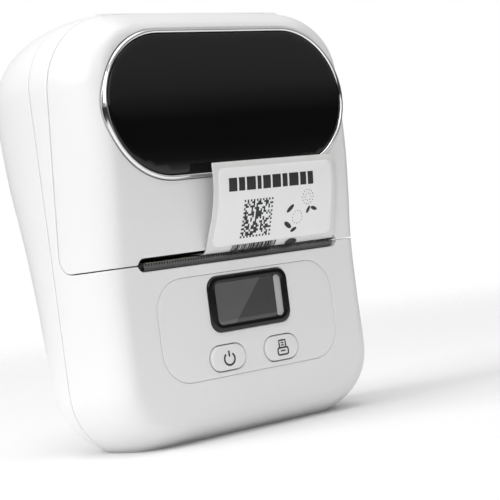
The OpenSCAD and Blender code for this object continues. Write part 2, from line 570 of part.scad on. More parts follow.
// printed strip that curls up ahead of the slot: [height, forward at left edge, forward at right edge]
TAIL = [[46.0, -18.2, -18.2], [46.0, -19.6, -19.6], [46.4, -20.5, -20.5], [47.2, -21.2, -21.1], [48.6, -21.9, -21.6], [51, -23.2, -22.2],
    [54, -24.9, -22.9], [58, -26.6, -24.0], [62, -27.6, -24.7], [65, -27.9, -24.9], [67.8, -28.0, -24.8]];
module sheet(x0, x1, i0, i1, off, th, top = 0) {
    n = 6;
    m = i1 - i0;
    function fx(k) = x0 + (x1 - x0) * k / n;
    function fy(i, k) = let(u = (fx(k) - (web_x1 - web_w)) / web_w) TAIL[i][1] + (TAIL[i][2] - TAIL[i][1]) * u;
    function nrm(i) = let(a = TAIL[max(i - 1, 0)], b = TAIL[min(i + 1, len(TAIL) - 1)], dy = b[1] - a[1], dz = b[0] - a[0], l = sqrt(dy * dy + dz * dz))
        [-dz / l, dy / l];
    pts = concat(
        [for (i = [i0:i1]) for (k = [0:n]) [fx(k), fy(i, k) + nrm(i)[0] * off, TAIL[i][0] + nrm(i)[1] * off + (i == i1 ? top : 0)]],
        [for (i = [i0:i1]) for (k = [0:n]) [fx(k), fy(i, k) + nrm(i)[0] * (off + th), TAIL[i][0] + nrm(i)[1] * (off + th) + (i == i1 ? top : 0)]]);
    b = (m + 1) * (n + 1);
    function id(i, k) = i * (n + 1) + k;
    polyhedron(points = pts, faces = concat(
        [for (i = [0:m - 1]) for (k = [0:n - 1]) for (f = [[id(i, k), id(i, k + 1), id(i + 1, k + 1)], [id(i, k), id(i + 1, k + 1), id(i + 1, k)]]) f],
        [for (i = [0:m - 1]) for (k = [0:n - 1]) for (f = [[b + id(i, k), b + id(i + 1, k + 1), b + id(i, k + 1)], [b + id(i, k), b + id(i + 1, k), b + id(i + 1, k + 1)]]) f],
        [for (k = [0:n - 1]) for (f = [[id(0, k), b + id(0, k + 1), id(0, k + 1)], [id(0, k), b + id(0, k), b + id(0, k + 1)],
            [id(m, k), id(m, k + 1), b + id(m, k + 1)], [id(m, k), b + id(m, k + 1), b + id(m, k)]]) f],
        [for (i = [0:m - 1]) for (f = [[id(i, 0), id(i + 1, 0), b + id(i + 1, 0)], [id(i, 0), b + id(i + 1, 0), b + id(i, 0)],
            [id(i, n), b + id(i + 1, n), id(i + 1, n)], [id(i, n), b + id(i, n), b + id(i + 1, n)]]) f]), convexity = 6);
}
module label_tail() color(paper) at() sheet(web_x1 - web_w, web_x1, 0, 10, 0, 0.15);
module printed_label() color([1, 1, 1]) at() sheet(web_x1 - web_w + 1.5, web_x1 - 1.5, 3, 10, 0.2, 0.12, -1.4);

module label_roll() color(paper) at() difference() {
    rod(web_x1 - web_w, web_x1, RY, RZ, roll_r, 96);
    rod(-40, 40, RY, RZ, 7.05, 64);
}
module roll_core() color([0.85, 0.83, 0.78]) at() difference() {
    rod(web_x1 - web_w - 0.2, web_x1 + 0.2, RY, RZ, 7.05, 64);
    rod(-40, 40, RY, RZ, 6, 64);
}
// cheek disc with a boss that carries the core
module guide_disc(x0, x1, xb0, xb1) {
    rod(x0, x1, RY, RZ, 13, 64);
    rod(xb0, xb1, RY, RZ, 5.9, 48);
}
module fixed_roll_guide() color([0.16, 0.16, 0.17]) at() {
    guide_disc(web_x1 + 0.6, CR[0], web_x1 - 4, web_x1 + 1);
}
gx = web_x1 - web_w;
module sliding_roll_guide() color([0.16, 0.16, 0.17]) at() difference() {
    union() {
        guide_disc(gx - 1.9, gx - 0.6, gx - 1, gx + 4);
        along_x(gx - 1.9, gx - 0.6) polygon([[RY, RZ - 12], [RY + 12, RZ - 5], [18.6, 65.5], [18.9, 58.2], [15.2, 58.2], [14.2, 64]]);
        rod(gx - 5, gx + 1.4, RAIL[0], RAIL[1], 2.2, 40);
    }
    rod(gx - 6, gx + 3, RAIL[0], RAIL[1], 1.56);
}
module guide_rail() color(steel) at() rod(CL[0], CR[1], RAIL[0], RAIL[1], 1.5);

// curved cradle behind the roll and the chute under the backing
module paper_tray() color([0.2, 0.2, 0.21]) at() difference() {
    ro = 20;
    th = 1.2;
    q = 1.4;            // the chute lies this far outside the backing
    a1 = w_n;
    P0 = W0 + (ro - roll_r - 0.1) * [cos(w_n), sin(w_n)];
    P1 = W1 + q * [cos(w_n), sin(w_n)];
    e = [sin(w_n), -cos(w_n)];
    along_x(CL[1] + 0.05, CR[0] - 0.05) polygon(concat(
        arc([RY, RZ], ro, 8, a1, 10), [P1 - 3 * e],
        [P1 - 3 * e + th * [cos(w_n), sin(w_n)]], arc([RY, RZ], ro + th, a1, 8, 10)));
    // slot for the sliding guide and openings for the fixed guide and the sensor
    box(-31, gx - 0.2, 12, 30, 60, 76);
    box(-4.4, 8.4, -14, 1.2, 44, 56);
}

front_shell();
rear_shell();
lid_shell();
lid_inner_frame();
hinge_brackets();
lid_panel();
lid_bezel();
hinge_pin();
control_panel();
screen_bezel();
screen_glass();
lcd_module();
power_button();
feed_button();
tear_bar();
release_button();
release_spring();
case_screws();
main_board();
board_components();
tactile_switches();
battery_pack();
usb_socket();
head_cable();
chassis();
gear_cover();
chassis_screws();
drive_motor();
motor_pinion();
idler_gear();
idler_axle();
platen_roller();
platen_shaft();
platen_gear();
platen_bushes();
print_head();
head_heatsink();
head_pivot_pin();
head_springs();
paper_sensor();
paper_tray();
guide_rail();
fixed_roll_guide();
sliding_roll_guide();
roll_core();
label_roll();
label_web();
label_tail();
printed_label();
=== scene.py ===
import json
import math
import random
import bpy
import bmesh
import numpy as np
from mathutils import Vector, Matrix
from mathutils.geometry import delaunay_2d_cdt


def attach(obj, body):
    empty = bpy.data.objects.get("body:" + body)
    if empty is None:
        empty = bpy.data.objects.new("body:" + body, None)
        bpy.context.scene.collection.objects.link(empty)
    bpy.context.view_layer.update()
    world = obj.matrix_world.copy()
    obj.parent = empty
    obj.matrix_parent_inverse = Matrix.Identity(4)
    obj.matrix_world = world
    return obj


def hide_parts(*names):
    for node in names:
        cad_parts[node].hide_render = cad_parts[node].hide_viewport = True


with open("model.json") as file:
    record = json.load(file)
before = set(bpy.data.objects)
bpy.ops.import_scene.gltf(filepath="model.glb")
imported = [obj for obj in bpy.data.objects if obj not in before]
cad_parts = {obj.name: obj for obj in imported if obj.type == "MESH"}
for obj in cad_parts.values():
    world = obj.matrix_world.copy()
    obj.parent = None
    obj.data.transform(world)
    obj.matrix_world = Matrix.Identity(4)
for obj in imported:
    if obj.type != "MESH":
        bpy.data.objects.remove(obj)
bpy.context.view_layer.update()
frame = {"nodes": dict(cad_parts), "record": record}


# ------------------------------------------------------------------ the case form, in mm, y = 0 is the parting plane
AW, H, R, CROWN, EXT = 43.5, 109.0, 18.0, 1.2, 1.6
EDGE = {-1: 8.0, 1: 7.0}
FRONT = [[-2, 18.4], [5, 19.4], [15, 20.0], [30, 19.9], [45, 20.3], [57, 21.9], [70, 23.3], [85, 23.5], [98, 23.0], [120, 22.0]]
REAR = [[-2, 10.8], [10, 12.4], [25, 15.6], [40, 17.6], [55, 20.4], [70, 24.2], [85, 25.9], [98, 24.8], [120, 23.0]]
SEAM_Y = 2.0
CX, CZ, HZF = AW - R, (H - EXT) / 2, (H + EXT) / 2


def hermite(tab):
    z = np.array([a[0] for a in tab], float)
    v = np.array([a[1] for a in tab], float)
    n = len(z)
    m = np.array([(v[min(i + 1, n - 1)] - v[max(i - 1, 0)]) / (z[min(i + 1, n - 1)] - z[max(i - 1, 0)]) for i in range(n)])

    def f(q):
        q = np.asarray(q, float)
        i = np.clip(np.searchsorted(z, q, side="right") - 1, 0, n - 2)
        h = z[i + 1] - z[i]
        s = (q - z[i]) / h
        return (2 * s**3 - 3 * s * s + 1) * v[i] + (s**3 - 2 * s * s + s) * m[i] * h + (3 * s * s - 2 * s**3) * v[i + 1] + (s**3 - s * s) * m[i + 1] * h
    return f


PROF = {-1: hermite(FRONT), 1: hermite(REAR)}


def e_of(t, edge):
    return edge * (1 - (1 - np.clip(t, 0, 1) ** 2.1) ** (1 / 2.1))


def t_of(e, edge):
    u = np.clip(np.asarray(e, float) / edge, 0, 1)
    return np.clip(1 - (1 - u) ** 2.1, 0, 1) ** (1 / 2.1)


def qz(z):
    return np.abs(z - CZ) - (HZF - R)


def half(z, e):
    q = qz(z)
    return np.where(q <= 0, AW - e, CX + np.sqrt(np.clip((R - e) ** 2 - q * q, 0, None) * (R - e > 0)))


def t_sat(z, edge):
    q = qz(z)
    return np.where(q <= 0, 1.0, t_of(np.clip(R - q, 0, None), edge))


def inset(x, z):
    qx, q = np.abs(x) - (AW - R), qz(z)
    return R - (np.sqrt(np.clip(qx, 0, None) ** 2 + np.clip(q, 0, None) ** 2) + np.minimum(np.maximum(qx, q), 0))


def crown(x, z):
    return z - CROWN * np.maximum(z, 0) / H * (x / AW) ** 2


def uncrown(x, zr):
    return zr / (1 - CROWN / H * (x / AW) ** 2)


def skin_xz(side, uv):
    """Point of the case skin over (x, real height)."""
    uv = np.asarray(uv, float).reshape(-1, 2)
    zf = uncrown(uv[:, 0], uv[:, 1])
    y = side * PROF[side](zf) * t_of(inset(uv[:, 0], zf), EDGE[side])
    return np.column_stack([uv[:, 0], y, uv[:, 1]])


def skin_yz(side, sx, uv):
    """Point of the case skin over (y, real height) on the side sx."""
    uv = np.asarray(uv, float).reshape(-1, 2)
    zf = uv[:, 1].copy()
    for _ in range(4):
        t = np.abs(uv[:, 0]) / PROF[side](zf)
        x = half(zf, e_of(t, EDGE[side]))
        zf = uncrown(x, uv[:, 1])
    return np.column_stack([sx * x, uv[:, 0], uv[:, 1]])


# ------------------------------------------------------------------ mesh helpers
def weld(V, F, tol=2e-4):
    key, index, out, remap = {}, [], [], np.zeros(len(V), int)
    for i, p in enumerate(np.round(V / tol).astype(np.int64)):
        k = (int(p[0]), int(p[1]), int(p[2]))
        if k not in key:
            key[k] = len(out)
            out.append(i)
        remap[i] = key[k]
    faces = []
    for f in F:
        g = []
        for i in f:
            j = int(remap[i])
            if not g or g[-1] != j:
                g.append(j)
        if len(g) > 1 and g[0] == g[-1]:
            g.pop()
        if len(g) >= 3 and len(set(g)) == len(g):
            faces.append(tuple(g))
    return V[out], faces


def grid_faces(m, n, flip=False):
    F = []
    for i in range(m - 1):
        for j in range(n - 1):
            a, b, c, d = i * n + j, i * n + j + 1, (i + 1) * n + j + 1, (i + 1) * n + j
            F.append((a, d, c, b) if flip else (a, b, c, d))
    return F


def poly_dist(pts, loop):
    """Signed distance to a closed polygon, positive inside."""
    a, b = loop, np.roll(loop, -1, 0)
    d = b - a
    best = np.full(len(pts), 1e9)
    inside = np.zeros(len(pts), bool)
    for i in range(len(a)):
        w = pts - a[i]
        L = max(d[i] @ d[i], 1e-12)
        s = np.clip((w @ d[i]) / L, 0, 1)
        best = np.minimum(best, np.linalg.norm(w - s[:, None] * d[i], axis=1))
        y0, y1 = a[i][1], b[i][1]
        cond = (y0 > pts[:, 1]) != (y1 > pts[:, 1])
        with np.errstate(divide="ignore", invalid="ignore"):
            xc = a[i][0] + (pts[:, 1] - y0) / (y1 - y0) * d[i][0]
        inside ^= cond & (pts[:, 0] < xc)
    return np.where(inside, best, -best)


def cdt(points, loops, keep):
    """Triangles over points (Nx2), with the closed index loops as constraints, whose middles pass keep()."""
    edges = []
    for lp in loops:
        edges += [(lp[i], lp[(i + 1) % len(lp)]) for i in range(len(lp))]
    vs, es, fs, ov, oe, of_ = delaunay_2d_cdt([Vector(p) for p in points], edges, [], 0, 1e-6)
    back = [o[0] if o else -1 for o in ov]
    tris = [tuple(f) for f in fs]
    mid = np.array([[sum(vs[i][0] for i in f) / 3, sum(vs[i][1] for i in f) / 3] for f in tris])
    ok = keep(mid)
    out = []
    for f, k in zip(tris, ok):
        if k and all(back[i] >= 0 for i in f):
            a, b, c = (np.array(points[back[i]]) for i in f)
            area = (b[0] - a[0]) * (c[1] - a[1]) - (b[1] - a[1]) * (c[0] - a[0])
            if abs(area) > 1e-9:
                g = [back[i] for i in f]
                out.append(tuple(g if area > 0 else g[::-1]))
    return out


def chain(edges):
    nxt = {}
    for a, b in edges:
        nxt[a] = b
    loops = []
    while nxt:
        a = min(nxt)
        lp = [a]
        b = nxt.pop(a)
        while b != a:
            lp.append(b)
            b = nxt.pop(b)
        loops.append(lp)
    return loops


def open_edges(F):
    half_edges = {}
    for f in F:
        for i in range(len(f)):
            half_edges[(f[i], f[(i + 1) % len(f)])] = 1
    return [e for e in half_edges if (e[1], e[0]) not in half_edges]


def cut_hole(V, F, to2, to3, loop, region, margin=0.35, flip=False):
    """Cuts the closed outline out of a skin mesh and knits the skin to it."""
    uv = to2(V)
    d = poly_dist(uv, loop)
    reg = region(V)
    gone = np.array([any(reg[i] and d[i] > -margin for i in f) for f in F])
    kept = [f for f, g in zip(F, gone) if not g]
    lost = [f for f, g in zip(F, gone) if g]
    ring = chain(open_edges(lost))
    ring.sort(key=len, reverse=True)
    ring = ring[0]
    n0 = len(V)
    V2 = np.vstack([V, to3(loop)])
    P = [tuple(uv[i]) for i in ring] + [tuple(p) for p in loop]
    a = list(range(len(ring)))
    b = list(range(len(ring), len(P)))
    RP = np.array(P[:len(ring)])
    tri = cdt(P, [a, b], lambda m: (poly_dist(m, RP) > 0) & (poly_dist(m, loop) < 0))
    idx = ring + list(range(n0, n0 + len(loop)))
    new = [tuple(idx[i] for i in (t[::-1] if flip else t)) for t in tri]
    return V2, kept + new


def vertex_normals(V, F):
    N = np.zeros_like(V)
    for f in F:
        p = V[list(f)]
        n = np.zeros(3)
        for i in range(1, len(f) - 1):
            n += np.cross(p[i] - p[0], p[i + 1] - p[0])
        for i in f:
            N[i] += n
    return N / np.maximum(np.linalg.norm(N, axis=1), 1e-12)[:, None]


def thicken(V, F, wall=2.0, r=0.2, steps=3, floor_z=None):
    """Closes a skin into a shell: rounded lips on every open edge, a wall, and an inner skin."""
    V, F = weld(V, F)
    used = sorted({i for f in F for i in f})
    rm = {o: i for i, o in enumerate(used)}
    V, F = V[used], [tuple(rm[i] for i in f) for f in F]
    N = vertex_normals(V, F)
    core = np.column_stack([np.clip(V[:, 0], -25, 25), np.zeros(len(V)), np.clip(V[:, 2], 17, 91)])
    away = V - core
    away /= np.maximum(np.linalg.norm(away, axis=1), 1e-9)[:, None]
    bad = (N * away).sum(1) < 0.15
    if floor_z is not None:
        bad &= V[:, 2] > 0.5
    N[bad] = away[bad]
    loops = chain(open_edges(F))
    inner = V - N * wall
    if floor_z is not None:
        inner[:, 2] = np.maximum(inner[:, 2], floor_z)
    n0 = len(V)
    out = [V, inner]
    faces = list(F) + [tuple(i + n0 for i in f[::-1]) for f in F]
    base = 2 * n0
    for lp in loops:
        p, n = V[lp], N[lp]
        tan = np.roll(p, -1, 0) - np.roll(p, 1, 0)
        o = np.cross(tan, n)
        o /= np.maximum(np.linalg.norm(o, axis=1), 1e-12)[:, None]
        rings = [list(lp)]
        for k in range(1, steps + 1):
            a = math.pi / 2 * k / steps
            q = p + o * r * math.sin(a) - n * r * (1 - math.cos(a))
            if floor_z is not None:
                q[:, 2] = np.maximum(q[:, 2], 0)
            out.append(q)
            rings.append(list(range(base, base + len(lp))))
            base += len(lp)
        q = inner[lp] + o * r
        out.append(q)
        rings.append(list(range(base, base + len(lp))))
        base += len(lp)
        rings.append([i + n0 for i in lp])
        for A, B in zip(rings, rings[1:]):
            for i in range(len(lp)):
                j = (i + 1) % len(lp)
                faces.append((A[j], A[i], B[i], B[j]))
    A = np.vstack(out)
    A[:, 0] = np.clip(A[:, 0], -AW, AW)
    A[:, 2] = np.clip(A[:, 2], -1, H)
    return A, faces


def make(name, V, F, material, body, smooth=38, replaces=(), uv=None):
    """A piece from points in mm about the parting plane."""
    me = bpy.data.meshes.new(name)
    P = np.asarray(V, float).copy()
    P[:, 1] += SEAM_Y
    me.from_pydata([tuple(p) for p in P / 1000.0], [], [tuple(int(i) for i in f) for f in F])
    me.validate(clean_customdata=False)
    bm = bmesh.new()
    bm.from_mesh(me)
    bmesh.ops.remove_doubles(bm, verts=bm.verts, dist=2e-7)
    bmesh.ops.dissolve_degenerate(bm, dist=1e-7, edges=bm.edges)
    loose = [v for v in bm.verts if not v.link_faces]
    bmesh.ops.delete(bm, geom=loose, context="VERTS")
    bm.to_mesh(me)
    bm.free()
    for p in me.polygons:
        p.use_smooth = True
    me.set_sharp_from_angle(angle=math.radians(smooth))
    o = bpy.data.objects.new(name, me)
    bpy.context.scene.collection.objects.link(o)
    me.materials.append(material)
    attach(o, body)
    if replaces:
        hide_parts(*replaces)
    return o


def rrect(x0, x1, z0, z1, r, n=10):
    """Outline of a rounded rectangle that can be inset."""
    def f(i):
        q = max(r - i, 0.02)
        out = []
        for cx, cz, a0 in ((x1 - i - q, z0 + i + q, -90), (x1 - i - q, z1 - i - q, 0), (x0 + i + q, z1 - i - q, 90), (x0 + i + q, z0 + i + q, 180)):
            for k in range(n + 1):
                a = math.radians(a0 + 90 * k / n)
                out.append((cx + q * math.cos(a), cz + q * math.sin(a)))
        out = np.array(out)
        res = []
        for k in range(len(out)):
            a, b = out[k], out[(k + 1) % len(out)]
            m = max(1, int(np.linalg.norm(b - a) / 1.6))
            for j in range(m):
                res.append(a + (b - a) * j / m)
        res = np.array(res)
        keep = [k for k in range(len(res)) if np.linalg.norm(res[k] - res[k - 1]) > 1e-6]
        return res[keep]
    # the same count of points at every inset
    ref = f(0)
    cen = np.array([(x0 + x1) / 2, (z0 + z1) / 2])

    def g(i):
        # move each point of the outline along its own inward normal
        inn = np.clip(ref, [x0 + r, z0 + r], [x1 - r, z1 - r])
        d = ref - inn
        L = np.linalg.norm(d, axis=1)
        n_ = np.where(L[:, None] > 1e-9, d / np.maximum(L, 1e-9)[:, None], 0)
        return ref - n_ * i
    return g


def stadium(x, z, h, r, vertical=False):
    if vertical:
        return rrect(x - r, x + r, z - h, z + h, r - 1e-4, 14)
    return rrect(x - h, x + h, z - r, z + r, r - 1e-4, 14)


def fill(loops, spacing):
    """Points and triangles inside loops[0] and outside the others, with inner points at the spacing."""
    P, L = [], []
    for lp in loops:
        L.append(list(range(len(P), len(P) + len(lp))))
        P += [tuple(p) for p in lp]
    outer = np.array(loops[0])
    lo, hi = outer.min(0), outer.max(0)
    g = np.array([(x, z) for z in np.arange(lo[1] + spacing / 2, hi[1], spacing) for x in np.arange(lo[0] + spacing / 2, hi[0], spacing)]).reshape(-1, 2)
    ok = poly_dist(g, outer) > spacing * 0.45
    for h in loops[1:]:
        ok &= poly_dist(g, np.array(h)) < -spacing * 0.45
    P += [tuple(p) for p in g[ok]]

    def keep(m):
        k = poly_dist(m, outer) > 0
        for h in loops[1:]:
            k &= poly_dist(m, np.array(h)) < 0
        return k
    return P, L, cdt(P, L, keep)


def plate(outline, holes, r, proud, depth, surf, spacing=2.0, steps=4, bulge=None, hole_r=None):
    """A plate on a surface: rounded front edges, straight sides, holes with rounded edges.
    surf(uv, h) is the point over uv at the height h above the surface."""
    V, F = [], []

    def add(pts):
        n = len(V)
        V.extend([tuple(p) for p in pts])
        return list(range(n, n + len(pts)))
    hr = r if hole_r is None else hole_r

    def hh(uv):
        return bulge(uv) if bulge else 0.0

    def ring(o, i, h):
        uv = o(i)
        return add(surf(uv, h + hh(uv)))
    rings = [[add(surf(outline(0), -depth)), ring(outline, 0, proud - r)]]
    for k in range(1, steps + 1):
        a = math.pi / 2 * k / steps
        rings[0].append(ring(outline, r * (1 - math.cos(a)), proud - r + r * math.sin(a)))
    for h in holes:
        rs = [add(surf(h(0), -depth)), ring(h, 0, proud - hr)]
        for k in range(1, steps + 1):
            a = math.pi / 2 * k / steps
            rs.append(ring(h, -hr * (1 - math.cos(a)), proud - hr + hr * math.sin(a)))
        rings.append(rs)
    for w, rs in enumerate(rings):
        for A, B in zip(rs, rs[1:]):
            for i in range(len(A)):
                j = (i + 1) % len(A)
                F.append((A[i], A[j], B[j], B[i]) if w == 0 else (A[j], A[i], B[i], B[j]))
    loops = [outline(r)] + [h(-hr) for h in holes]
    P, L, T = fill(loops, spacing)
    idx = []
    for k, lp in enumerate(L):
        idx += rings[k][-1]
    extra = np.array(P[len(idx):]).reshape(-1, 2)
    if len(extra):
        idx += add(surf(extra, proud + hh(extra)))
    F += [tuple(idx[i] for i in t) for t in T]
    loops = [outline(0)] + [h(0) for h in holes]
    P, L, T = fill(loops, max(spacing * 1.5, 3))
    idx = []
    for k, lp in enumerate(L):
        idx += rings[k][0]
    extra = np.array(P[len(idx):]).reshape(-1, 2)
    if len(extra):
        idx += add(surf(extra, -depth))
    F += [tuple(idx[i] for i in t[::-1]) for t in T]
    return np.array(V), F


def face(uv, h):
    """The flat-across front face: (x, z) at height h above it."""
    uv = np.asarray(uv, float).reshape(-1, 2)
    return np.column_stack([uv[:, 0], -PROF[-1](uv[:, 1]) - h, uv[:, 1]])


# ------------------------------------------------------------------ materials
def nodes_of(name):
    m = bpy.data.materials.new(name)
    m.use_nodes = True
    nt = m.node_tree
    return m, nt, nt.nodes["Principled BSDF"]


def surface(name, dark, light, rough=(0.3, 0.4), scale=60, bump=0.02, bump_scale=900, metallic=0.0, stretch=(1, 1, 1), distance=0.0002, spec=0.5, coat=0.0, detail=3.0, ior=1.5):
    """A procedural finish: slow colour variation, fine roughness variation and a fine surface texture."""
    m, nt, b = nodes_of(name)
    N, L = nt.nodes, nt.links
    tc = N.new("ShaderNodeTexCoord")
    mp = N.new("ShaderNodeMapping")
    mp.inputs["Scale"].default_value = stretch
    L.new(tc.outputs["Object"], mp.inputs["Vector"])
    a = N.new("ShaderNodeTexNoise")
    a.inputs["Scale"].default_value = scale
    a.inputs["Detail"].default_value = detail
    L.new(mp.outputs["Vector"], a.inputs["Vector"])
    mix = N.new("ShaderNodeMix")
    mix.data_type = "RGBA"
    mix.inputs["A"].default_value = (*dark, 1)
    mix.inputs["B"].default_value = (*light, 1)
    L.new(a.outputs["Fac"], mix.inputs["Factor"])
    L.new(mix.outputs["Result"], b.inputs["Base Color"])
    c = N.new("ShaderNodeTexNoise")
    c.inputs["Scale"].default_value = bump_scale
    c.inputs["Detail"].default_value = 2
    L.new(mp.outputs["Vector"], c.inputs["Vector"])
    mr = N.new("ShaderNodeMapRange")
    mr.inputs["To Min"].default_value, mr.inputs["To Max"].default_value = rough
    L.new(c.outputs["Fac"], mr.inputs["Value"])
    L.new(mr.outputs["Result"], b.inputs["Roughness"])
    bp = N.new("ShaderNodeBump")
    bp.inputs["Strength"].default_value = bump
    bp.inputs["Distance"].default_value = distance
    L.new(c.outputs["Fac"], bp.inputs["Height"])
    L.new(bp.outputs["Normal"], b.inputs["Normal"])
    b.inputs["Metallic"].default_value = metallic
    b.inputs["Specular IOR Level"].default_value = spec
    b.inputs["IOR"].default_value = ior
    if coat:
        b.inputs["Coat Weight"].default_value = coat
        b.inputs["Coat Roughness"].default_value = 0.05
    return m


def g3(v, tint=(0, 0, 0)):
    return (v + tint[0], v + tint[1], v + tint[2])


M = {}
M["white_abs"] = surface("white_abs", g3(0.80), g3(0.83), (0.26, 0.36), 40, 0.05, 1600, distance=0.00005)
M["inner_white"] = surface("inner_white", g3(0.66), g3(0.70), (0.45, 0.6), 60, 0.15, 1800, distance=0.0001)
M["black_gloss"] = surface("black_gloss", g3(0.002), g3(0.004), (0.02, 0.05), 30, 0.004, 500, distance=0.00003, coat=0.0, spec=0.5)
M["bright_ring"] = surface("bright_ring", g3(0.78), g3(0.86), (0.05, 0.12), 80, 0.01, 900, 1.0, distance=0.00003)
M["screen_black"] = surface("screen_black", g3(0.004), g3(0.007), (0.08, 0.16), 60, 0.01, 900, distance=0.00003)
M["button_white"] = surface("button_white", g3(0.80), g3(0.83), (0.3, 0.4), 60, 0.04, 1600, distance=0.00005)
M["steel"] = surface("steel", g3(0.42), g3(0.56), (0.22, 0.4), 120, 0.1, 700, 1.0, stretch=(0.15, 1, 1), distance=0.00005)
M["cutter_steel"] = surface("cutter_steel", g3(0.16), g3(0.24), (0.3, 0.45), 160, 0.1, 900, 1.0, stretch=(0.12, 1, 1), distance=0.00005)
M["spring_steel"] = surface("spring_steel", g3(0.4), g3(0.5), (0.2, 0.35), 200, 0.05, 900, 1.0)
M["black_abs"] = surface("black_abs", g3(0.018), g3(0.028), (0.38, 0.55), 60, 0.2, 1800, distance=0.0001)
M["gear_acetal"] = surface("gear_acetal", (0.72, 0.71, 0.66), (0.78, 0.77, 0.72), (0.3, 0.42), 80, 0.05, 1200)
M["brass"] = surface("brass", (0.62, 0.42, 0.15), (0.75, 0.55, 0.24), (0.2, 0.35), 150, 0.05, 900, 1.0)
M["platen_rubber"] = surface("platen_rubber", g3(0.02), g3(0.035), (0.6, 0.8), 150, 0.2, 1600, distance=0.0001)
M["pcb"] = surface("pcb", (0.01, 0.09, 0.03), (0.02, 0.16, 0.06), (0.3, 0.4), 350, 0.1, 900, distance=0.0001)
M["chip_black"] = surface("chip_black", g3(0.015), g3(0.03), (0.4, 0.6), 150, 0.1, 1600)
M["battery_wrap"] = surface("battery_wrap", (0.02, 0.05, 0.16), (0.03, 0.08, 0.24), (0.25, 0.4), 60, 0.05, 400)
M["motor_can"] = surface("motor_can", g3(0.38), g3(0.5), (0.25, 0.42), 160, 0.08, 700, 1.0, stretch=(1, 0.1, 0.1))
M["head_ceramic"] = surface("head_ceramic", (0.66, 0.63, 0.55), (0.74, 0.71, 0.63), (0.2, 0.35), 90, 0.05, 900)
M["aluminium"] = surface("aluminium", g3(0.5), g3(0.62), (0.3, 0.45), 120, 0.1, 600, 1.0, stretch=(0.12, 1, 1))
M["flat_cable"] = surface("flat_cable", (0.55, 0.52, 0.42), (0.66, 0.63, 0.53), (0.3, 0.45), 90, 0.03, 700, stretch=(18, 1, 1))
M["label_paper"] = surface("label_paper", g3(0.89), g3(0.92), (0.42, 0.55), 150, 0.06, 2600, distance=0.00004)
M["liner_paper"] = surface("liner_paper", (0.74, 0.74, 0.73), (0.78, 0.78, 0.775), (0.3, 0.42), 90, 0.05, 2200, distance=0.00004)
M["core_card"] = surface("core_card", (0.42, 0.35, 0.25), (0.55, 0.47, 0.35), (0.7, 0.85), 300, 0.3, 1500)
M["screen_glass"] = surface("screen_glass", g3(0.052), g3(0.058), (0.04, 0.08), 60, 0.004, 500)
M["ink"] = surface("ink", g3(0.010), g3(0.02), (0.45, 0.6), 400, 0.05, 2600)
M["icon_ink"] = surface("icon_ink", g3(0.022), g3(0.034), (0.4, 0.5), 400, 0.03, 2600)
M["lcd_edge"] = surface("lcd_edge", g3(0.42), g3(0.48), (0.25, 0.35), 300, 0.03, 1800)


def lcd_glass_painted_reflection():
    """Dark display glass with a painted reflection: a lighter diagonal tone over its upper left half stands in for
    light on the glass.
    """
    m = surface("lcd_painted_reflection", g3(0.058), g3(0.061), (0.05, 0.09), 60, 0.004, 500)
    nt = m.node_tree
    N, L = nt.nodes, nt.links
    b = N["Principled BSDF"]
    tc = N.new("ShaderNodeTexCoord")
    sx = N.new("ShaderNodeSeparateXYZ")
    L.new(tc.outputs["Object"], sx.inputs["Vector"])
    k = N.new("ShaderNodeMath")
    k.operation = "MULTIPLY_ADD"
    k.inputs[1].default_value = 0.89
    L.new(sx.outputs["Z"], k.inputs[0])
    neg = N.new("ShaderNodeMath")
    neg.operation = "MULTIPLY"
    neg.inputs[1].default_value = -1.0
    L.new(sx.outputs["X"], neg.inputs[0])
    L.new(neg.outputs[0], k.inputs[2])
    # painted reflection: a diagonal line (0.89 z - x) splits the glass into a lighter upper left and a darker lower
    # right
    mr = N.new("ShaderNodeMapRange")
    mr.inputs["From Min"].default_value = 0.89 * 0.0331 + 0.0001 - 0.00012
    mr.inputs["From Max"].default_value = 0.89 * 0.0331 + 0.0001 + 0.00012
    L.new(k.outputs[0], mr.inputs["Value"])
    mix = N.new("ShaderNodeMix")
    mix.data_type = "RGBA"
    # colours of the painted reflection: A is the darker lower right, B the lighter upper left
    mix.inputs["A"].default_value = (0.068, 0.068, 0.069, 1)
    mix.inputs["B"].default_value = (0.118, 0.118, 0.12, 1)
    L.new(mr.outputs["Result"], mix.inputs["Factor"])
    L.new(mix.outputs["Result"], b.inputs["Base Color"])
    return m


M["lcd_painted_reflection"] = lcd_glass_painted_reflection()


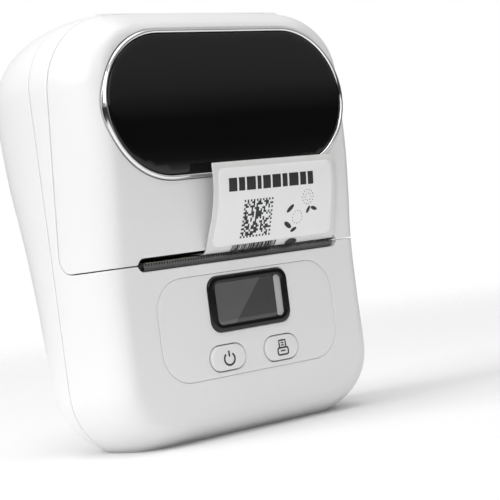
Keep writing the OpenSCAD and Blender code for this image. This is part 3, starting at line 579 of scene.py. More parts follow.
def roll_sides():
    """Label roll: paper with the wound layers showing as fine rings on the ends."""
    m = surface("label_roll_layers", g3(0.74), g3(0.80), (0.5, 0.65), 150, 0.1, 2200)
    nt = m.node_tree
    N, L = nt.nodes, nt.links
    b = N["Principled BSDF"]
    tc = N.new("ShaderNodeTexCoord")
    mp = N.new("ShaderNodeMapping")
    mp.inputs["Location"].default_value = (0, -(1.5 + SEAM_Y) / 1000, -0.080)
    L.new(tc.outputs["Object"], mp.inputs["Vector"])
    sx = N.new("ShaderNodeSeparateXYZ")
    L.new(mp.outputs["Vector"], sx.inputs["Vector"])
    cb = N.new("ShaderNodeCombineXYZ")
    L.new(sx.outputs["Y"], cb.inputs["X"])
    L.new(sx.outputs["Z"], cb.inputs["Y"])
    ln = N.new("ShaderNodeVectorMath")
    ln.operation = "LENGTH"
    L.new(cb.outputs[0], ln.inputs[0])
    mu = N.new("ShaderNodeMath")
    mu.operation = "MULTIPLY"
    mu.inputs[1].default_value = 2 * math.pi / 0.00055
    L.new(ln.outputs["Value"], mu.inputs[0])
    si = N.new("ShaderNodeMath")
    si.operation = "SINE"
    L.new(mu.outputs[0], si.inputs[0])
    mr = N.new("ShaderNodeMapRange")
    mr.inputs["From Min"].default_value = -1
    L.new(si.outputs[0], mr.inputs["Value"])
    mix = N.new("ShaderNodeMix")
    mix.data_type = "RGBA"
    mix.inputs["A"].default_value = (0.55, 0.55, 0.53, 1)
    mix.inputs["B"].default_value = (0.82, 0.82, 0.80, 1)
    L.new(mr.outputs["Result"], mix.inputs["Factor"])
    L.new(mix.outputs["Result"], b.inputs["Base Color"])
    return m


M["roll_layers"] = roll_sides()

# ------------------------------------------------------------------ skins of the three case mouldings
GAP = 0.11          # half of the parting gap, beyond the lip radius
LIP = 0.17
SEAM = 0.13 + LIP   # case parting plane to the skin's edge
ZB = 45.35          # lower edge of the lid
SIDE0, SIDE1, ZS0, ZS1 = 3.5, 9.65, 49.35, 106.05
HY, HR = 11.55, 1.9


def lid_side_y(z, g):
    """Depth of the side parting line at height z, moved by g towards the case (g < 0) or the lid."""
    z = np.asarray(z, float)
    line = SIDE0 + (SIDE1 - SIDE0) * (z - ZS0) / (ZS1 - ZS0) + g
    low = SIDE0 + 4 - np.sqrt(np.clip((4 - g) ** 2 - np.clip(ZS0 - z, 0, None) ** 2, 0, None))
    dz = np.clip(z - ZS1, 0, None)
    rr = HR - g
    high = HY - np.sqrt(np.clip(rr * rr - dz * dz, 0, None))
    return np.where(z < ZS0, low, np.where(z > ZS1, high, line))


def mids():
    x = list(np.linspace(-28, 28, 36))
    for s in (-1, 1):
        x += [s * v for v in (29.2, 30.1, 30.6, 31.0, 31.35, 31.65, 31.85, 32.0, 32.3, 33.2, 34.3)]
    return np.array(sorted(x)) / 35.5


def graded_rows(side, lo, hi):
    """Heights close together where the form rolls over at the top and the bottom."""
    e = [float(e_of(t, EDGE[side])) for t in np.linspace(0.02, 1, 26)]
    top = [H - v for v in e] + [91 + 18 * math.sin(math.radians(a)) for a in np.linspace(0, 62, 18)]
    bot = [-EXT + v for v in e] + [16.4 - 18 * math.sin(math.radians(a)) for a in np.linspace(0, 62, 18)]
    z = sorted(set([round(v, 4) for v in top + bot + list(np.linspace(16.4, 91, 58)) if lo < v < hi] + [lo, hi]))
    out = [z[0]]
    for v in z[1:]:
        if v - out[-1] > 0.035 or v == hi:
            if v == hi and v - out[-1] < 0.03:
                out[-1] = v
            else:
                out.append(v)
    return np.array(out)


def slot_edge(x, upper, grow):
    """How far the slot's half round end cuts into an edge at x."""
    r, h = 1.7 + grow, 32.0 + grow
    ax = np.abs(x)
    c = h - r
    s = np.where(ax <= c, r, np.sqrt(np.clip(r * r - (ax - c) ** 2, 0, None)))
    return s


def place(side, zr, Y, x_mid=None, sx=None):
    """Skin point from real height and depth (side columns) or from x (middle columns)."""
    zf = zr / 1.0
    edge = EDGE[side]
    for _ in range(5):
        d = PROF[side](zf)
        t = np.minimum(Y / d, t_sat(zf, edge)) if x_mid is None else t_sat(zf, edge)
        if x_mid is None:
            x = sx * half(zf, e_of(t, edge))
        else:
            x = x_mid * half(zf, np.minimum(edge, np.clip(R - np.clip(qz(zf), 0, None), 0, edge)))
        zf = uncrown(x, zr)
    return np.stack([x, side * d * t, zr + 0 * x], -1)


def column_Y(k, n, Y0, Y1):
    u = k / n
    return Y0 + (Y1 - Y0) * (u ** 1.15)


def lid_skin():
    g = 0.04 + LIP
    th = np.radians(np.linspace(0, 90, 8))
    r = 4 - g
    low = [ZS0 - r * math.cos(a) for a in th]        # up the lid's lower rear corner
    ztop = float(H - e_of((HY + 0.02) / 22.6, EDGE[-1]))
    rows = [z for z in graded_rows(-1, ZS0 + 0.6, ztop - 0.02)]
    zs = np.array(sorted(set(low + rows + [ZS0 + 0.3, ztop])))
    mid = mids()
    n_side = 20
    P = []
    for z in zs:
        base = z
        yb = float(lid_side_y(z, g)) if z < ZS1 + HR - g else HY
        if z <= low[0] + 1e-6:
            yb = SIDE0 + 4
        row = []
        for sx in (-1, 1):
            ks = range(n_side) if sx < 0 else range(n_side - 1, -1, -1)
            side_pts = []
            for k in ks:
                d = float(PROF[-1](z))
                Y = yb + (d - yb) * math.sin(math.pi / 2 * k / n_side) ** 1.0
                side_pts.append(place(-1, np.array([z]), np.array([Y]), sx=sx)[0])
            if sx < 0:
                row += side_pts
                xs = place(-1, np.full(len(mid) + 2, z), None, x_mid=np.concatenate([[-1], mid, [1]]))
                # the slot's upper half bites into the lower edge
                w = np.clip(1 - (z - low[0]) / 6.5, 0, 1) ** 1.5
                lift = (slot_edge(xs[:, 0], True, LIP) - (ZB - 45.2) - g * 0.95)
                lift = np.clip(lift, 0, None) * w
                zz = xs[:, 2] + lift
                xs2 = skin_xz(-1, np.column_stack([xs[:, 0], zz]))
                use = lift > 1e-6
                xs[use] = xs2[use]
                row += list(xs)
            else:
                row += side_pts
        P.append(row)
    P = np.array(P)
    m, n = P.shape[:2]
    return P.reshape(-1, 3), grid_faces(m, n)


def body_skin(side, top=None):
    """Front (below the lid line) or rear moulding, with its flat base."""
    edge = EDGE[side]
    mid = mids() if side < 0 else np.linspace(-1, 1, 52)[1:-1]
    zt = 45.05 - LIP if side < 0 else float(H - e_of(SEAM / 22.8, edge))
    rows = list(graded_rows(side, 0.35, zt))
    if side < 0:
        rows = [z for z in rows if z < 41.4] + list(np.linspace(41.6, zt, 10))
    YA = 3.5 - 0.26 - LIP
    small = [SEAM, 0.7, 1.3, 2.1, YA]
    arc = [SIDE0 + 4 - (4.26 + LIP) * math.cos(math.radians(a)) for a in (9, 18, 28, 40, 53, 68, 90)]
    big = [math.sin(math.pi / 2 * k / 15) for k in range(1, 15)]
    P = []
    for z in rows:
        d = float(PROF[side](z))
        Ys = small + arc
        Ys = Ys + [Ys[-1] + (d - Ys[-1]) * b for b in big]
        row = []
        for sx in (-1, 1):
            pts = []
            for Y in (Ys if sx < 0 else Ys[::-1]):
                zz = z
                if side < 0:
                    w = np.clip((z - 34.5) / (zt - 34.5), 0, 1) ** 1.3
                    rr = 4.26 + LIP
                    if Y <= YA + 1e-6:
                        up = ZS0 - zt
                    else:
                        up = (ZS0 - math.sqrt(max(rr * rr - max(SIDE0 + 4 - Y, 0) ** 2, 0))) - zt if Y < SIDE0 + 4 else ZS0 - rr - zt
                    zz = z + up * w
                pts.append(place(side, np.array([zz]), np.array([Y]), sx=sx)[0])
            if sx < 0:
                row += pts
                xs = place(side, np.full(len(mid) + 2, z), None, x_mid=np.concatenate([[-1], mid, [1]]))
                if side < 0:
                    w = np.clip((z - 41.5) / (zt - 41.5), 0, 1)
                    w34 = np.clip((z - 34.5) / (zt - 34.5), 0, 1) ** 1.3
                    drop = np.clip(slot_edge(xs[:, 0], False, LIP) - (45.2 - zt), 0, None) * w
                    up = (ZS0 - (4.26 + LIP) - zt) * w34
                    xs = skin_xz(side, np.column_stack([xs[:, 0], xs[:, 2] - drop + up]))
                row += list(xs)
            else:
                row += pts
        P.append(row)
    P = np.array(P)
    # rounded edge onto the flat base, and the base itself
    first = P[0].copy()
    cen = first.copy()
    cen[:, 0] *= 0.985
    extra = []
    ctr = np.array([0.0, 0.0, 0.0])
    out = first.copy()
    out[:, 2] = 0
    for f, dz in ((0.12, 0.12), (0.42, 0.0)):
        q = first.copy()
        q[:, 2] = dz
        nx = first[:, 0] / np.maximum(np.hypot(first[:, 0], first[:, 1] * 2.2), 1e-6)
        ny = first[:, 1] * 2.2 / np.maximum(np.hypot(first[:, 0], first[:, 1] * 2.2), 1e-6)
        lim = np.abs(first[:, 1]) - SEAM
        q[:, 0] -= nx * f
        q[:, 1] -= np.sign(side) * np.minimum(np.abs(ny) * f, np.clip(lim, 0, None))
        extra.append(q)
    last = extra[-1]
    base = []
    for w in (0.3, 0.65, 1.0):
        q = last.copy()
        q[:, 1] = last[:, 1] * (1 - w) + side * SEAM * w
        base.append(q)
    allrows = base[::-1] + extra[::-1] + list(P)
    allrows = np.array(allrows)
    m, n = allrows.shape[:2]
    return allrows.reshape(-1, 3), grid_faces(m, n, flip=side > 0)


def arch_skin():
    """Band of the front moulding that frames the lid, from one side over the top to the other."""
    pts = []
    for z in np.linspace(ZS0, 91, 34)[:-1]:
        pts.append(("side", -1, z))
    for a in np.linspace(180, 90, 40)[:-1]:
        pts.append(("arc", -1, a))
    for x in np.linspace(-CX, CX, 30)[:-1]:
        pts.append(("top", 0, x))
    for a in np.linspace(90, 0, 40):
        pts.append(("arc", 1, a))
    for z in np.linspace(91, ZS0, 34)[1:]:
        pts.append(("side", 1, z))
    YA = 3.5 - 0.26 - LIP
    small = np.array([SEAM, 0.7, 1.3, 2.1, YA])
    rows = []
    for kind, s, v in pts:
        def at(Y):
            zf = 100.0
            for _ in range(6):
                d = float(PROF[-1](zf))
                e = float(e_of(Y / d, EDGE[-1]))
                if kind == "side":
                    x = s * (AW - e)
                    if v < 91 and v > ZS0:
                        zf = v
                    zz = v
                    if v == ZS0:
                        zf = uncrown(x, ZS0)
                        return np.array([x, -Y, ZS0])
                elif kind == "arc":
                    x = s * CX + (R - e) * math.cos(math.radians(v))
                    zf = 91 + (R - e) * math.sin(math.radians(v))
                else:
                    x = v
                    zf = H - e
            return np.array([x, -Y, float(crown(np.array(x), np.array(zf)))])
        Yb = 6.0
        for _ in range(12):
            z = at(Yb)[2]
            Yb = float(lid_side_y(z, -0.26 - LIP)) if z < ZS1 + 2.3 else 11.1 - LIP
            Yb = min(Yb, 11.1 - LIP)
        if kind == "side" and v == ZS0:
            Yb = YA
        ys = SEAM + (small - SEAM) * (Yb - SEAM) / (YA - SEAM)
        ys = list(ys)
        rows.append([at(Y) for Y in ys])
    P = np.array(rows)
    m, n = P.shape[:2]
    return P.reshape(-1, 3), grid_faces(m, n, flip=False)


def xz(V):
    return V[:, [0, 2]]


def yz(V):
    return V[:, [1, 2]]


# lid
V, F = lid_skin()
V, F = weld(V, F)
pill = stadium(0, 83.4, 38.2, 18.75)
V, F = cut_hole(V, F, xz, lambda q: skin_xz(-1, q), pill(-LIP), lambda V: V[:, 1] < -12)
V, F = thicken(V, F, 2.0, LIP)
lid = make("lid_case", V, F, M["white_abs"], "lid", replaces=("lid_shell",))

# front moulding
V1, F1 = body_skin(-1)
V2, F2 = arch_skin()
V, F = np.vstack([V1, V2]), F1 + [tuple(i + len(V1) for i in f) for f in F2]
V, F = weld(V, F, 4e-3)
cp = rrect(-28.3, 28.3, 15, 41, 8.2)
V, F = cut_hole(V, F, xz, lambda q: skin_xz(-1, q), cp(-0.1), lambda V: V[:, 1] < -12)
V, F = thicken(V, F, 2.0, LIP, floor_z=2.0)
front = make("front_case", V, F, M["white_abs"], "root", replaces=("front_shell",))

# rear moulding
V, F = body_skin(1)
V, F = weld(V, F)
for s in (-1, 1):
    for x, z in ((31, 12), (38.2, 90)):
        V, F = cut_hole(V, F, xz, lambda q: skin_xz(1, q), rrect(s * x - 2.6, s * x + 2.6, z - 2.6, z + 2.6, 2.599, 8)(-0.15), lambda V: V[:, 1] > 5, 0.25, flip=True)
for cy, cz, r, h in ((4.2, 16, 1.7, 4.7), (7, 54, 3.2, 7.2)):
    V, F = cut_hole(V, F, yz, lambda q: skin_yz(1, 1, q), stadium(cy, cz, h, r, True)(-0.1), lambda V: (V[:, 0] > 30) & (V[:, 1] > 0.2), 0.25)
V, F = thicken(V, F, 2.0, LIP, floor_z=2.0)
rear = make("rear_case", V, F, M["white_abs"], "root", replaces=("rear_shell",))

# ------------------------------------------------------------------ black panel, bright ring
def dome(uv):
    uv = np.asarray(uv, float).reshape(-1, 2)
    q = np.clip(np.hypot(np.clip(np.abs(uv[:, 0]) - 19.5, 0, None), uv[:, 1] - 84) / 18.3, 0, 1)
    return 0.45 * (1 - q * q)


pan = stadium(0, 83.4, 36.8, 17.3)
V, F = plate(pan, [], 0.45, 0.35, 1.6, face, 1.5, 5, bulge=dome)
make("front_panel", V, F, M["black_gloss"], "lid", replaces=("lid_panel",))
ring_o, ring_i = stadium(0, 83.4, 38.0, 18.55), stadium(0, 83.4, 36.88, 17.38)
V, F = plate(ring_o, [ring_i], 0.62, 0.68, 1.8, face, 5, 6)
make("panel_ring", V, F, M["bright_ring"], "lid", 50, replaces=("lid_bezel",))

# ------------------------------------------------------------------ control panel
SX0, SX1, SZ0, SZ1 = -12.34, 13.34, 26.15, 40.1
scr = rrect(SX0 - 0.1, SX1 + 0.1, SZ0 - 0.1, SZ1 + 0.1, 3.1)
btns = [stadium(s * 8.7, 19.7, 5.8, 3.4) for s in (-1, 1)]


def skin_h(uv, h):
    p = skin_xz(-1, uv)
    p[:, 1] -= h
    return p


V, F = plate(rrect(-28.15, 28.15, 15.15, 40.85, 8.05), [scr] + btns, 0.16, 0.0, 1.9, skin_h, 1.8, 3)
make("control_face", V, F, M["white_abs"], "root", replaces=("control_panel",))
win = rrect(SX0 + 2.1, SX1 - 2.1, SZ0 + 1.65, SZ1 - 1.65, 1.5)
V, F = plate(rrect(SX0, SX1, SZ0, SZ1, 3.0), [win], 0.4, 0.4, 2.2, face, 3, 4, hole_r=0.12)
make("screen_surround", V, F, M["screen_black"], "root", replaces=("screen_bezel",))
# the display window glass, whose colour holds a painted reflection
V, F = plate(rrect(SX0 + 2.15, 8.95, SZ0 + 1.7, SZ1 - 1.7, 1.0), [], 0.05, 0.2, 1.5, face, 2, 2)
make("screen_window", V, F, M["lcd_painted_reflection"], "root", replaces=("screen_glass",))
V, F = plate(rrect(9.0, SX1 - 2.15, SZ0 + 1.7, SZ1 - 1.7, 0.7), [], 0.05, 0.1, 1.5, face, 2, 2)
make("screen_light_guide", V, F, M["lcd_edge"], "root")

BTN = {}
for s, nm, node in ((-1, "power_key_cap", "power_button"), (1, "feed_key_cap", "feed_button")):
    cx = s * 8.7

    def cap(uv, cx=cx):
        uv = np.asarray(uv, float).reshape(-1, 2)
        q = np.clip(np.hypot(np.clip(np.abs(uv[:, 0] - cx) - 2.3, 0, None), uv[:, 1] - 19.8) / 3.5, 0, 1)
        return 0.1 * (1 - q * q)

    V, F = plate(stadium(cx, 19.7, 5.55, 3.15), [], 0.7, 0.46, 2.1, face, 1.0, 6, bulge=cap)
    make(nm, V, F, M["button_white"], "power_key" if s < 0 else "feed_key", replaces=(node,))


def ribbon(path, w, surf, h, closed=False):
    """A flat stroke of width w along a path in (u, v)."""
    p = np.array(path, float)
    if closed:
        t = np.roll(p, -1, 0) - np.roll(p, 1, 0)
    else:
        t = np.gradient(p, axis=0)
    t /= np.maximum(np.linalg.norm(t, axis=1), 1e-9)[:, None]
    n = np.column_stack([-t[:, 1], t[:, 0]])
    A, B = surf(p + n * w / 2, h), surf(p - n * w / 2, h)
    V = np.vstack([A, B])
    k = len(p)
    F = []
    for i in range(k if closed else k - 1):
        j = (i + 1) % k
        F.append((i, k + i, k + j, j))
    return V, F


def joined(parts):
    V, F, n = [], [], 0
    for v, f in parts:
        V.append(v)
        F += [tuple(i + n for i in q) for q in f]
        n += len(v)
    return np.vstack(V), F


def key_surf(cx):
    def f(uv, h):
        uv = np.asarray(uv, float).reshape(-1, 2)
        q = np.clip(np.hypot(np.clip(np.abs(uv[:, 0] - cx) - 2.3, 0, None), uv[:, 1] - 19.8) / 3.5, 0, 1)
        p = face(uv, 0)
        p[:, 1] -= 0.48 + 0.1 * (1 - q * q) + h
        return p
    return f


ks = key_surf(-8.7)
arc = [(-8.7 + 1.62 * math.sin(math.radians(a)), 19.35 + 1.55 * math.cos(math.radians(a))) for a in np.linspace(38, 322, 30)]
V, F = joined([ribbon(arc, 0.5, ks, 0.02), ribbon([(-8.7, 19.9), (-8.7, 20.7), (-8.7, 21.4)], 0.5, ks, 0.02)])
make("power_mark", V, F, M["icon_ink"], "power_key")
ks = key_surf(8.7)
ox, oz = 8.7, 19.6


def rr_path(x0, x1, z0, z1, r):
    o = rrect(x0, x1, z0, z1, r, 4)(0)
    return [tuple(q) for q in o]


V, F = joined([
    ribbon(rr_path(ox - 1.7, ox + 1.7, oz - 1.75, oz + 0.05, 0.5), 0.42, ks, 0.02, True),
    ribbon([(ox - 1.05, oz + 0.2), (ox - 1.05, oz + 1.0), (ox - 1.05, oz + 1.95), (ox, oz + 1.95), (ox + 1.05, oz + 1.95), (ox + 1.05, oz + 1.0), (ox + 1.05, oz + 0.2)], 0.42, ks, 0.02),
    ribbon([(ox - 0.45, oz + 1.3), (ox, oz + 1.3), (ox + 0.45, oz + 1.3)], 0.32, ks, 0.02),
    ribbon([(ox - 0.45, oz + 0.7), (ox, oz + 0.7), (ox + 0.45, oz + 0.7)], 0.32, ks, 0.02),
    ribbon([(ox - 0.8, oz - 0.75), (ox, oz - 0.75), (ox + 0.8, oz - 0.75)], 0.34, ks, 0.02)])
make("feed_mark", V, F, M["icon_ink"], "feed_key")

# ------------------------------------------------------------------ tear bar
def tear_bar():
    V, F = [], []
    n = 76
    x0, x1 = -29.9, 30.9
    pitch = (x1 - x0) / n
    yf, yb = -19.45, -18.6
    prof = []
    for i in range(n):
        a = x0 + pitch * i
        prof += [(a + 0.02, 44.8), (a + pitch * 0.5 - 0.06, 45.55), (a + pitch * 0.5 + 0.06, 45.55)]
    prof.append((x1 - 0.02, 44.8))
    m = len(prof)
    # foot set back in the case, front face, ground bevel up to the tips, back
    rows = [lambda x, z: (x, yb, 42.9), lambda x, z: (x, yb - 0.25, 42.9), lambda x, z: (x, yb - 0.25, 43.95), lambda x, z: (x, yf + 0.12, 43.98), lambda x, z: (x, yf, 44.1),
            lambda x, z: (x, yf, 44.55), lambda x, z: (x, yf + (0.42 if z > 45 else 0.14), z), lambda x, z: (x, yb, z)]
    for f in rows:
        V += [f(x, z) for x, z in prof]
    k = len(rows)
    for r in range(k):
        a, b = r, (r + 1) % k
        for i in range(m - 1):
            F.append((a * m + i, a * m + i + 1, b * m + i + 1, b * m + i))
    F.append(tuple(r * m for r in range(k)))
    F.append(tuple(r * m + m - 1 for r in range(k - 1, -1, -1)))
    return np.array(V), F


V, F = tear_bar()
make("cutter_bar", V, F, M["cutter_steel"], "root", 20, replaces=("tear_bar",))

# ------------------------------------------------------------------ printed strip
TAIL = np.array([[46.0, -18.2, -18.2], [46.0, -19.6, -19.6], [46.4, -20.5, -20.5], [47.2, -21.2, -21.1], [48.6, -21.9, -21.6], [51, -23.2, -22.2],
                 [54, -24.9, -22.9], [58, -26.6, -24.0], [62, -27.6, -24.7], [65, -27.9, -24.9], [67.8, -28.0, -24.8]])
seg = np.linalg.norm(np.diff(np.column_stack([TAIL[:, 0], (TAIL[:, 1] + TAIL[:, 2]) / 2]), axis=0), axis=1)
S = np.concatenate([[0], np.cumsum(seg)])


def hermite_col(col):
    z = S
    v = TAIL[:, col]
    n = len(z)
    m = np.array([(v[min(i + 1, n - 1)] - v[max(i - 1, 0)]) / (z[min(i + 1, n - 1)] - z[max(i - 1, 0)]) for i in range(n)])
    m[0] = 0 if col == 0 else m[0]

    def f(q):
        i = np.clip(np.searchsorted(z, q, side="right") - 1, 0, n - 2)
        h = z[i + 1] - z[i]
        s = (q - z[i]) / h
        return (2 * s**3 - 3 * s * s + 1) * v[i] + (s**3 - 2 * s * s + s) * m[i] * h + (3 * s * s - 2 * s**3) * v[i + 1] + (s**3 - s * s) * m[i + 1] * h
    return f


TZ, TL, TR = hermite_col(0), hermite_col(1), hermite_col(2)


def strip(uv, h):
    """u across from the left edge (0..43), v along the strip, h above its printed face."""
    uv = np.asarray(uv, float).reshape(-1, 2)

    def P(u, v):
        k = u / 43
        return np.column_stack([-12 + u, TL(v) * (1 - k) + TR(v) * k, TZ(v)])
    p = P(uv[:, 0], uv[:, 1])
    lo, hi = np.clip(uv[:, 1] - 0.05, 0, S[-1] - 0.05), np.clip(uv[:, 1] + 0.05, 0.05, S[-1])
    tv = P(uv[:, 0], hi) - P(uv[:, 0], lo)
    tu = P(uv[:, 0] + 0.05, uv[:, 1]) - P(uv[:, 0] - 0.05, uv[:, 1])
    n = np.cross(tu, tv)
    n /= np.linalg.norm(n, axis=1)[:, None]
    return p + n * (0.15 + h)


LEN = float(S[-1])


def strip_outline(i):
    x0, x1, z0, z1, r = i, 43 - i, 0.001, LEN - i, 2.2
    out = []
    n = 8
    for k in range(24):
        out.append((x0 + (x1 - x0) * k / 24, z0))
    for k in range(30):
        out.append((x1, z0 + (z1 - r - z0) * k / 30))
    for k in range(n):
        a = math.radians(90 * k / n)
        out.append((x1 - r + r * math.cos(a), z1 - r + r * math.sin(a)))
    for k in range(24):
        out.append((x1 - r + (x0 + 0.4 - x1 + r) * k / 24, z1))
    for k in range(3):
        a = math.radians(90 + 90 * k / 3)
        out.append((x0 + 0.4 + 0.4 * math.cos(a), z1 - 0.4 + 0.4 * math.sin(a)))
    for k in range(30):
        out.append((x0, z1 - 0.4 + (z0 - z1 + 0.4) * k / 30))
    return np.array(out)


V, F = plate(strip_outline, [], 0.03, 0.0, 0.15, strip, 1.2, 1)
make("backing_strip", V, F, M["liner_paper"], "root", 60, replaces=("label_tail",))
LAB = rrect(1.6, 41.4, S[3] + 0.2, LEN - 1.5, 1.8, 6)
V, F = plate(LAB, [], 0.04, 0.13, 0.0, strip, 1.2, 1)
make("label_face", V, F, M["label_paper"], "root", 60, replaces=("printed_label",))


# the print on the label: plain blocks, a pattern of squares, bars and dots
def block(u0, u1, v0, v1):
    k = max(1, int(math.ceil((v1 - v0) / 0.45)))
    v = np.linspace(v0, v1, k + 1)
    uv = np.array([(u, q) for q in v for u in (u0, u1)])
    return strip(uv, 0.15), [(2 * i, 2 * i + 1, 2 * i + 3, 2 * i + 2) for i in range(k)]


def disc(u, v, r, n=12, ru=None):
    a = np.linspace(0, 2 * math.pi, n, endpoint=False)
    uv = np.array([(u, v)] + [(u + (ru or r) * math.cos(t), v + r * math.sin(t)) for t in a])
    return strip(uv, 0.145), [(0, 1 + i, 1 + (i + 1) % n) for i in range(n)]


rnd = random.Random(7)
ink = []
top_v = LEN - 1.5
# headline made of plain blocks
u = 4.9
for w in (3.3, 2.6, 3.6, 1.9, 3.2, 3.5, 2.3, 3.9, 2.7, 2.5):
    ink.append(block(u, u + w - 0.55, top_v - 5.9, top_v - 2.6))
    u += w + 0.05
# square pattern
q0u, q0v, cell, nq = 10.2, top_v - 18.2, 0.52, 19
for i in range(nq):
    for j in range(nq):
        frame_cell = i in (0, nq - 1) or j in (0, nq - 1)
        if (frame_cell and (i + j) % 2 == 0) or (not frame_cell and rnd.random() < 0.5):
            ink.append(block(q0u + i * cell, q0u + (i + 1) * cell, q0v + j * cell, q0v + (j + 1) * cell))
# bars
u = 8.2
for k in range(24):
    w = rnd.choice((0.22, 0.22, 0.44, 0.66))
    ink.append(block(u, u + w, top_v - 22.6, top_v - 19.8))
    u += w + rnd.choice((0.25, 0.25, 0.5))
    if u > 22.5:
        break
# small generic ornament: rings of dots and a few solid leaves
for k in range(14):
    a = 2 * math.pi * k / 14
    ink.append(disc(32.4 + 1.9 * math.cos(a), top_v - 9.2 + 1.9 * math.sin(a), 0.16, 6))
for k in range(8):
    a = 2 * math.pi * k / 8
    ink.append(disc(32.4 + 1.0 * math.cos(a), top_v - 9.2 + 1.0 * math.sin(a), 0.14, 6))
for k in range(12):
    a = 2 * math.pi * k / 12
    ink.append(disc(29.1 + 1.7 * math.cos(a), top_v - 14.3 + 1.7 * math.sin(a), 0.15, 6))
for (cu, cv, r1, r2, an) in ((26.4, top_v - 11.8, 1.5, 0.6, 40), (34.8, top_v - 12.4, 1.2, 0.5, -20), (32.8, top_v - 12.6, 1.1, 0.5, 60), (26.0, top_v - 16.2, 1.5, 0.65, -35), (28.1, top_v - 17.6, 1.1, 0.5, 25)):
    a = np.linspace(0, 2 * math.pi, 14, endpoint=False)
    c, s_ = math.cos(math.radians(an)), math.sin(math.radians(an))
    uv = np.array([(cu, cv)] + [(cu + r1 * math.cos(t) * c - r2 * math.sin(t) * s_, cv + r1 * math.cos(t) * s_ + r2 * math.sin(t) * c) for t in a])
    ink.append((strip(uv, 0.145), [(0, 1 + i, 1 + (i + 1) % 14) for i in range(14)]))
ink.append(disc(28.0, top_v - 21.0, 1.0, 20, 1.9))
V, F = joined(ink)
make("label_print", V, F, M["ink"], "root", 60)

# ------------------------------------------------------------------ release key on the side
def side_face(uv, h):
    uv = np.asarray(uv, float).reshape(-1, 2)
    p = skin_yz(1, 1, uv)
    p[:, 0] = 43.12 - 0.035 * np.clip(uv[:, 0] - 4.05, 0, None) ** 1.2 + h
    return p


rk = stadium(7, 54, 6.9, 2.92, True)
V, F = plate(rk, [], 0.4, 0.22, 1.6, side_face, 1.2, 4)
grips = []
for z in (51.2, 52.6, 54.0, 55.4, 56.8):
    gv, gf = plate(stadium(7, z, 1.75, 0.28), [], 0.14, 0.36, -0.1, side_face, 0.8, 3)
    grips.append((gv, gf))
cap = make("release_key_cap", V, F, M["button_white"], "release_key")
V, F = joined(grips)
make("release_key_grip", V, F, M["button_white"], "release_key")

# screw wells behind the four case screws
def tube(x, z, y0, y1, r0, r1, n=32):
    a = np.linspace(0, 2 * math.pi, n, endpoint=False)
    rings = []
    for (r, y) in ((r1, y0), (r1, y1), (r0, y1), (r0, y0)):
        p = np.column_stack([x + r * np.cos(a), np.full(n, float(y)), z + r * np.sin(a)])
        if y == y1:
            p[:, 1] = skin_xz(1, p[:, [0, 2]])[:, 1] - 1.0
        rings.append(p)
    V = np.vstack(rings)
    F = []
    for k in range(4):
        for i in range(n):
            j = (i + 1) % n
            F.append((k * n + i, k * n + j, ((k + 1) % 4) * n + j, ((k + 1) % 4) * n + i))
    return V, F


wells = []
for s in (-1, 1):
    y1 = float(PROF[1](12.0)) - 1.2
    wells.append(tube(s * 31, 12, 7.9, y1, 2.62, 3.5))
    y1 = float(skin_xz(1, [[38.2 + 3.4, 90]])[0, 1]) - 0.6
    wells.append(tube(s * 38.2, 90, 14.9, y1, 2.62, 3.3))
V, F = joined(wells)
make("screw_wells", V, F, M["inner_white"], "root")

# ------------------------------------------------------------------ finishes of the CAD nodes that stay
SLOT = {}
for m in frame["record"].get("materials", []):
    for nn in m.get("nodes", []) or []:
        SLOT[nn] = m.get("slot")
for sp in frame["record"].get("subparts", []):
    if sp.get("material_slot"):
        SLOT[sp["node"]] = sp["material_slot"]
for name, o in frame["nodes"].items():
    sl = SLOT.get(name)
    mat = M.get(sl) or M["black_abs"]
    if name == "label_roll":
        mat = M["roll_layers"]
    if name in ("lid_inner_frame", "hinge_brackets"):
        mat = M["white_abs"] if name == "hinge_brackets" else M["inner_white"]
    if o.material_slots:
        for ms in o.material_slots:
            ms.material = mat
    else:
        o.data.materials.append(mat)

# ------------------------------------------------------------------ floor, light, camera
def floor():
    n = 96
    rs = [0.05, 0.12, 0.2, 0.3, 0.45, 0.65, 0.9, 1.3]
    V, F = [(0, 0, 0)], []
    for r in rs:
        for k in range(n):
            t = 2 * math.pi * k / n
            V.append((r * math.cos(t), r * math.sin(t), 0))
    for k in range(n):
        F.append((0, 1 + k, 1 + (k + 1) % n))
    for i in range(len(rs) - 1):
        for k in range(n):
            a, b = 1 + i * n + k, 1 + i * n + (k + 1) % n
            F.append((a, a + n, b + n, b))
    me = bpy.data.meshes.new("studio_floor")
    me.from_pydata(V, [], F)
    o = bpy.data.objects.new("studio_floor", me)
    bpy.context.scene.collection.objects.link(o)
    m = surface("floor_white", g3(0.88), g3(0.90), (0.6, 0.7), 3, 0.0, 200, spec=0.2)
    N, L = m.node_tree.nodes, m.node_tree.links
    tc = N.new("ShaderNodeTexCoord")
    ln = N.new("ShaderNodeVectorMath")
    ln.operation = "LENGTH"
    L.new(tc.outputs["Object"], ln.inputs[0])
    mr = N.new("ShaderNodeMapRange")
    mr.interpolation_type = "SMOOTHERSTEP"
    mr.inputs["From Min"].default_value = 0.16
    mr.inputs["From Max"].default_value = 0.75
    mr.inputs["To Min"].default_value = 1.0
    mr.inputs["To Max"].default_value = 0.0
    L.new(ln.outputs["Value"], mr.inputs["Value"])
    L.new(mr.outputs["Result"], N["Principled BSDF"].inputs["Alpha"])
    me.materials.append(m)


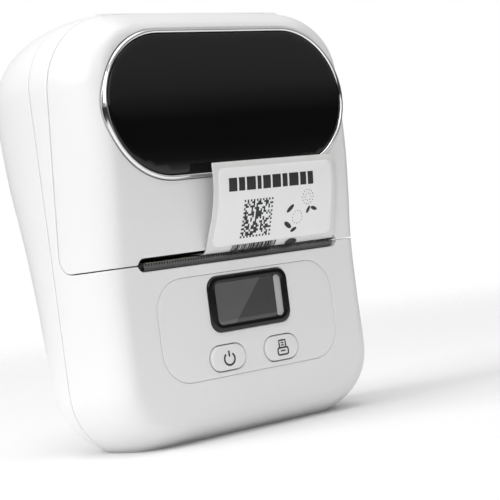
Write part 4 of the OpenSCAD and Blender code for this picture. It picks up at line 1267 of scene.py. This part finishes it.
floor()
scene = bpy.context.scene
scene.view_settings.view_transform = "Standard"
scene.view_settings.look = "None"
scene.view_settings.exposure = 0.0
w = bpy.data.worlds.new("studio")
scene.world = w
w.use_nodes = True
WN, WL = w.node_tree.nodes, w.node_tree.links
bg = WN["Background"]
bg.inputs["Strength"].default_value = 1.0
wt = WN.new("ShaderNodeTexCoord")
ws = WN.new("ShaderNodeSeparateXYZ")
WL.new(wt.outputs["Generated"], ws.inputs["Vector"])
wr = WN.new("ShaderNodeValToRGB")
wr.color_ramp.elements[0].position = 0.0
wr.color_ramp.elements[0].color = (0.13, 0.13, 0.13, 1)
wr.color_ramp.elements[1].position = 1.0
wr.color_ramp.elements[1].color = (0.66, 0.66, 0.66, 1)
for pos, v in ((0.44, 0.11), (0.49, 0.035), (0.535, 0.035), (0.575, 0.26), (0.66, 0.46)):
    el_ = wr.color_ramp.elements.new(pos)
    el_.color = (v, v, v, 1)
wm = WN.new("ShaderNodeMapRange")
wm.inputs["From Min"].default_value = -1
WL.new(ws.outputs["Z"], wm.inputs["Value"])
WL.new(wm.outputs["Result"], wr.inputs["Fac"])
wl = WN.new("ShaderNodeLightPath")
wx = WN.new("ShaderNodeMix")
wx.data_type = "RGBA"
wx.inputs["B"].default_value = (1, 1, 1, 1)
WL.new(wl.outputs["Is Camera Ray"], wx.inputs["Factor"])
WL.new(wr.outputs["Color"], wx.inputs["A"])
WL.new(wx.outputs["Result"], bg.inputs["Color"])


def area(name, loc, target, size, power, sy=None):
    d = bpy.data.lights.new(name, "AREA")
    d.energy = power
    d.shape = "RECTANGLE"
    d.size = size
    d.size_y = sy or size
    o = bpy.data.objects.new(name, d)
    scene.collection.objects.link(o)
    o.location = loc
    o.rotation_euler = (Vector(target) - Vector(loc)).to_track_quat("-Z", "Y").to_euler()
    return o


area("key_left", (-1.2, 0.25, 0.8), (0, 0, 0.05), 0.9, 11.5, 0.9)
area("top", (-0.1, -0.1, 1.3), (0, 0, 0.03), 1.0, 6.2)
area("front_fill", (-0.55, -1.2, 0.7), (0, 0, 0.05), 0.8, 3.2)

az, el, roll = math.radians(-38.739), math.radians(0.0714), math.radians(-7.6785)
back = Vector((math.sin(az) * math.cos(el), -math.cos(az) * math.cos(el), math.sin(el)))
f = -back
r = f.cross(Vector((0, 0, 1))).normalized()
u = r.cross(f)
r2 = math.cos(roll) * r + math.sin(roll) * u
u2 = -math.sin(roll) * r + math.cos(roll) * u
C = Vector((18.833, 0, 45.463)) + back * 406.406 + Vector((0, SEAM_Y, 0))
cam = bpy.data.cameras.new("camera")
cam.sensor_width = 36
cam.lens = 1499.219 / 500 * 36
cam.clip_start = 0.01
cam.clip_end = 20
co = bpy.data.objects.new("camera", cam)
scene.collection.objects.link(co)
co.matrix_world = Matrix(((r2.x, u2.x, back.x, C.x / 1000), (r2.y, u2.y, back.y, C.y / 1000), (r2.z, u2.z, back.z, C.z / 1000), (0, 0, 0, 1)))
scene.camera = co
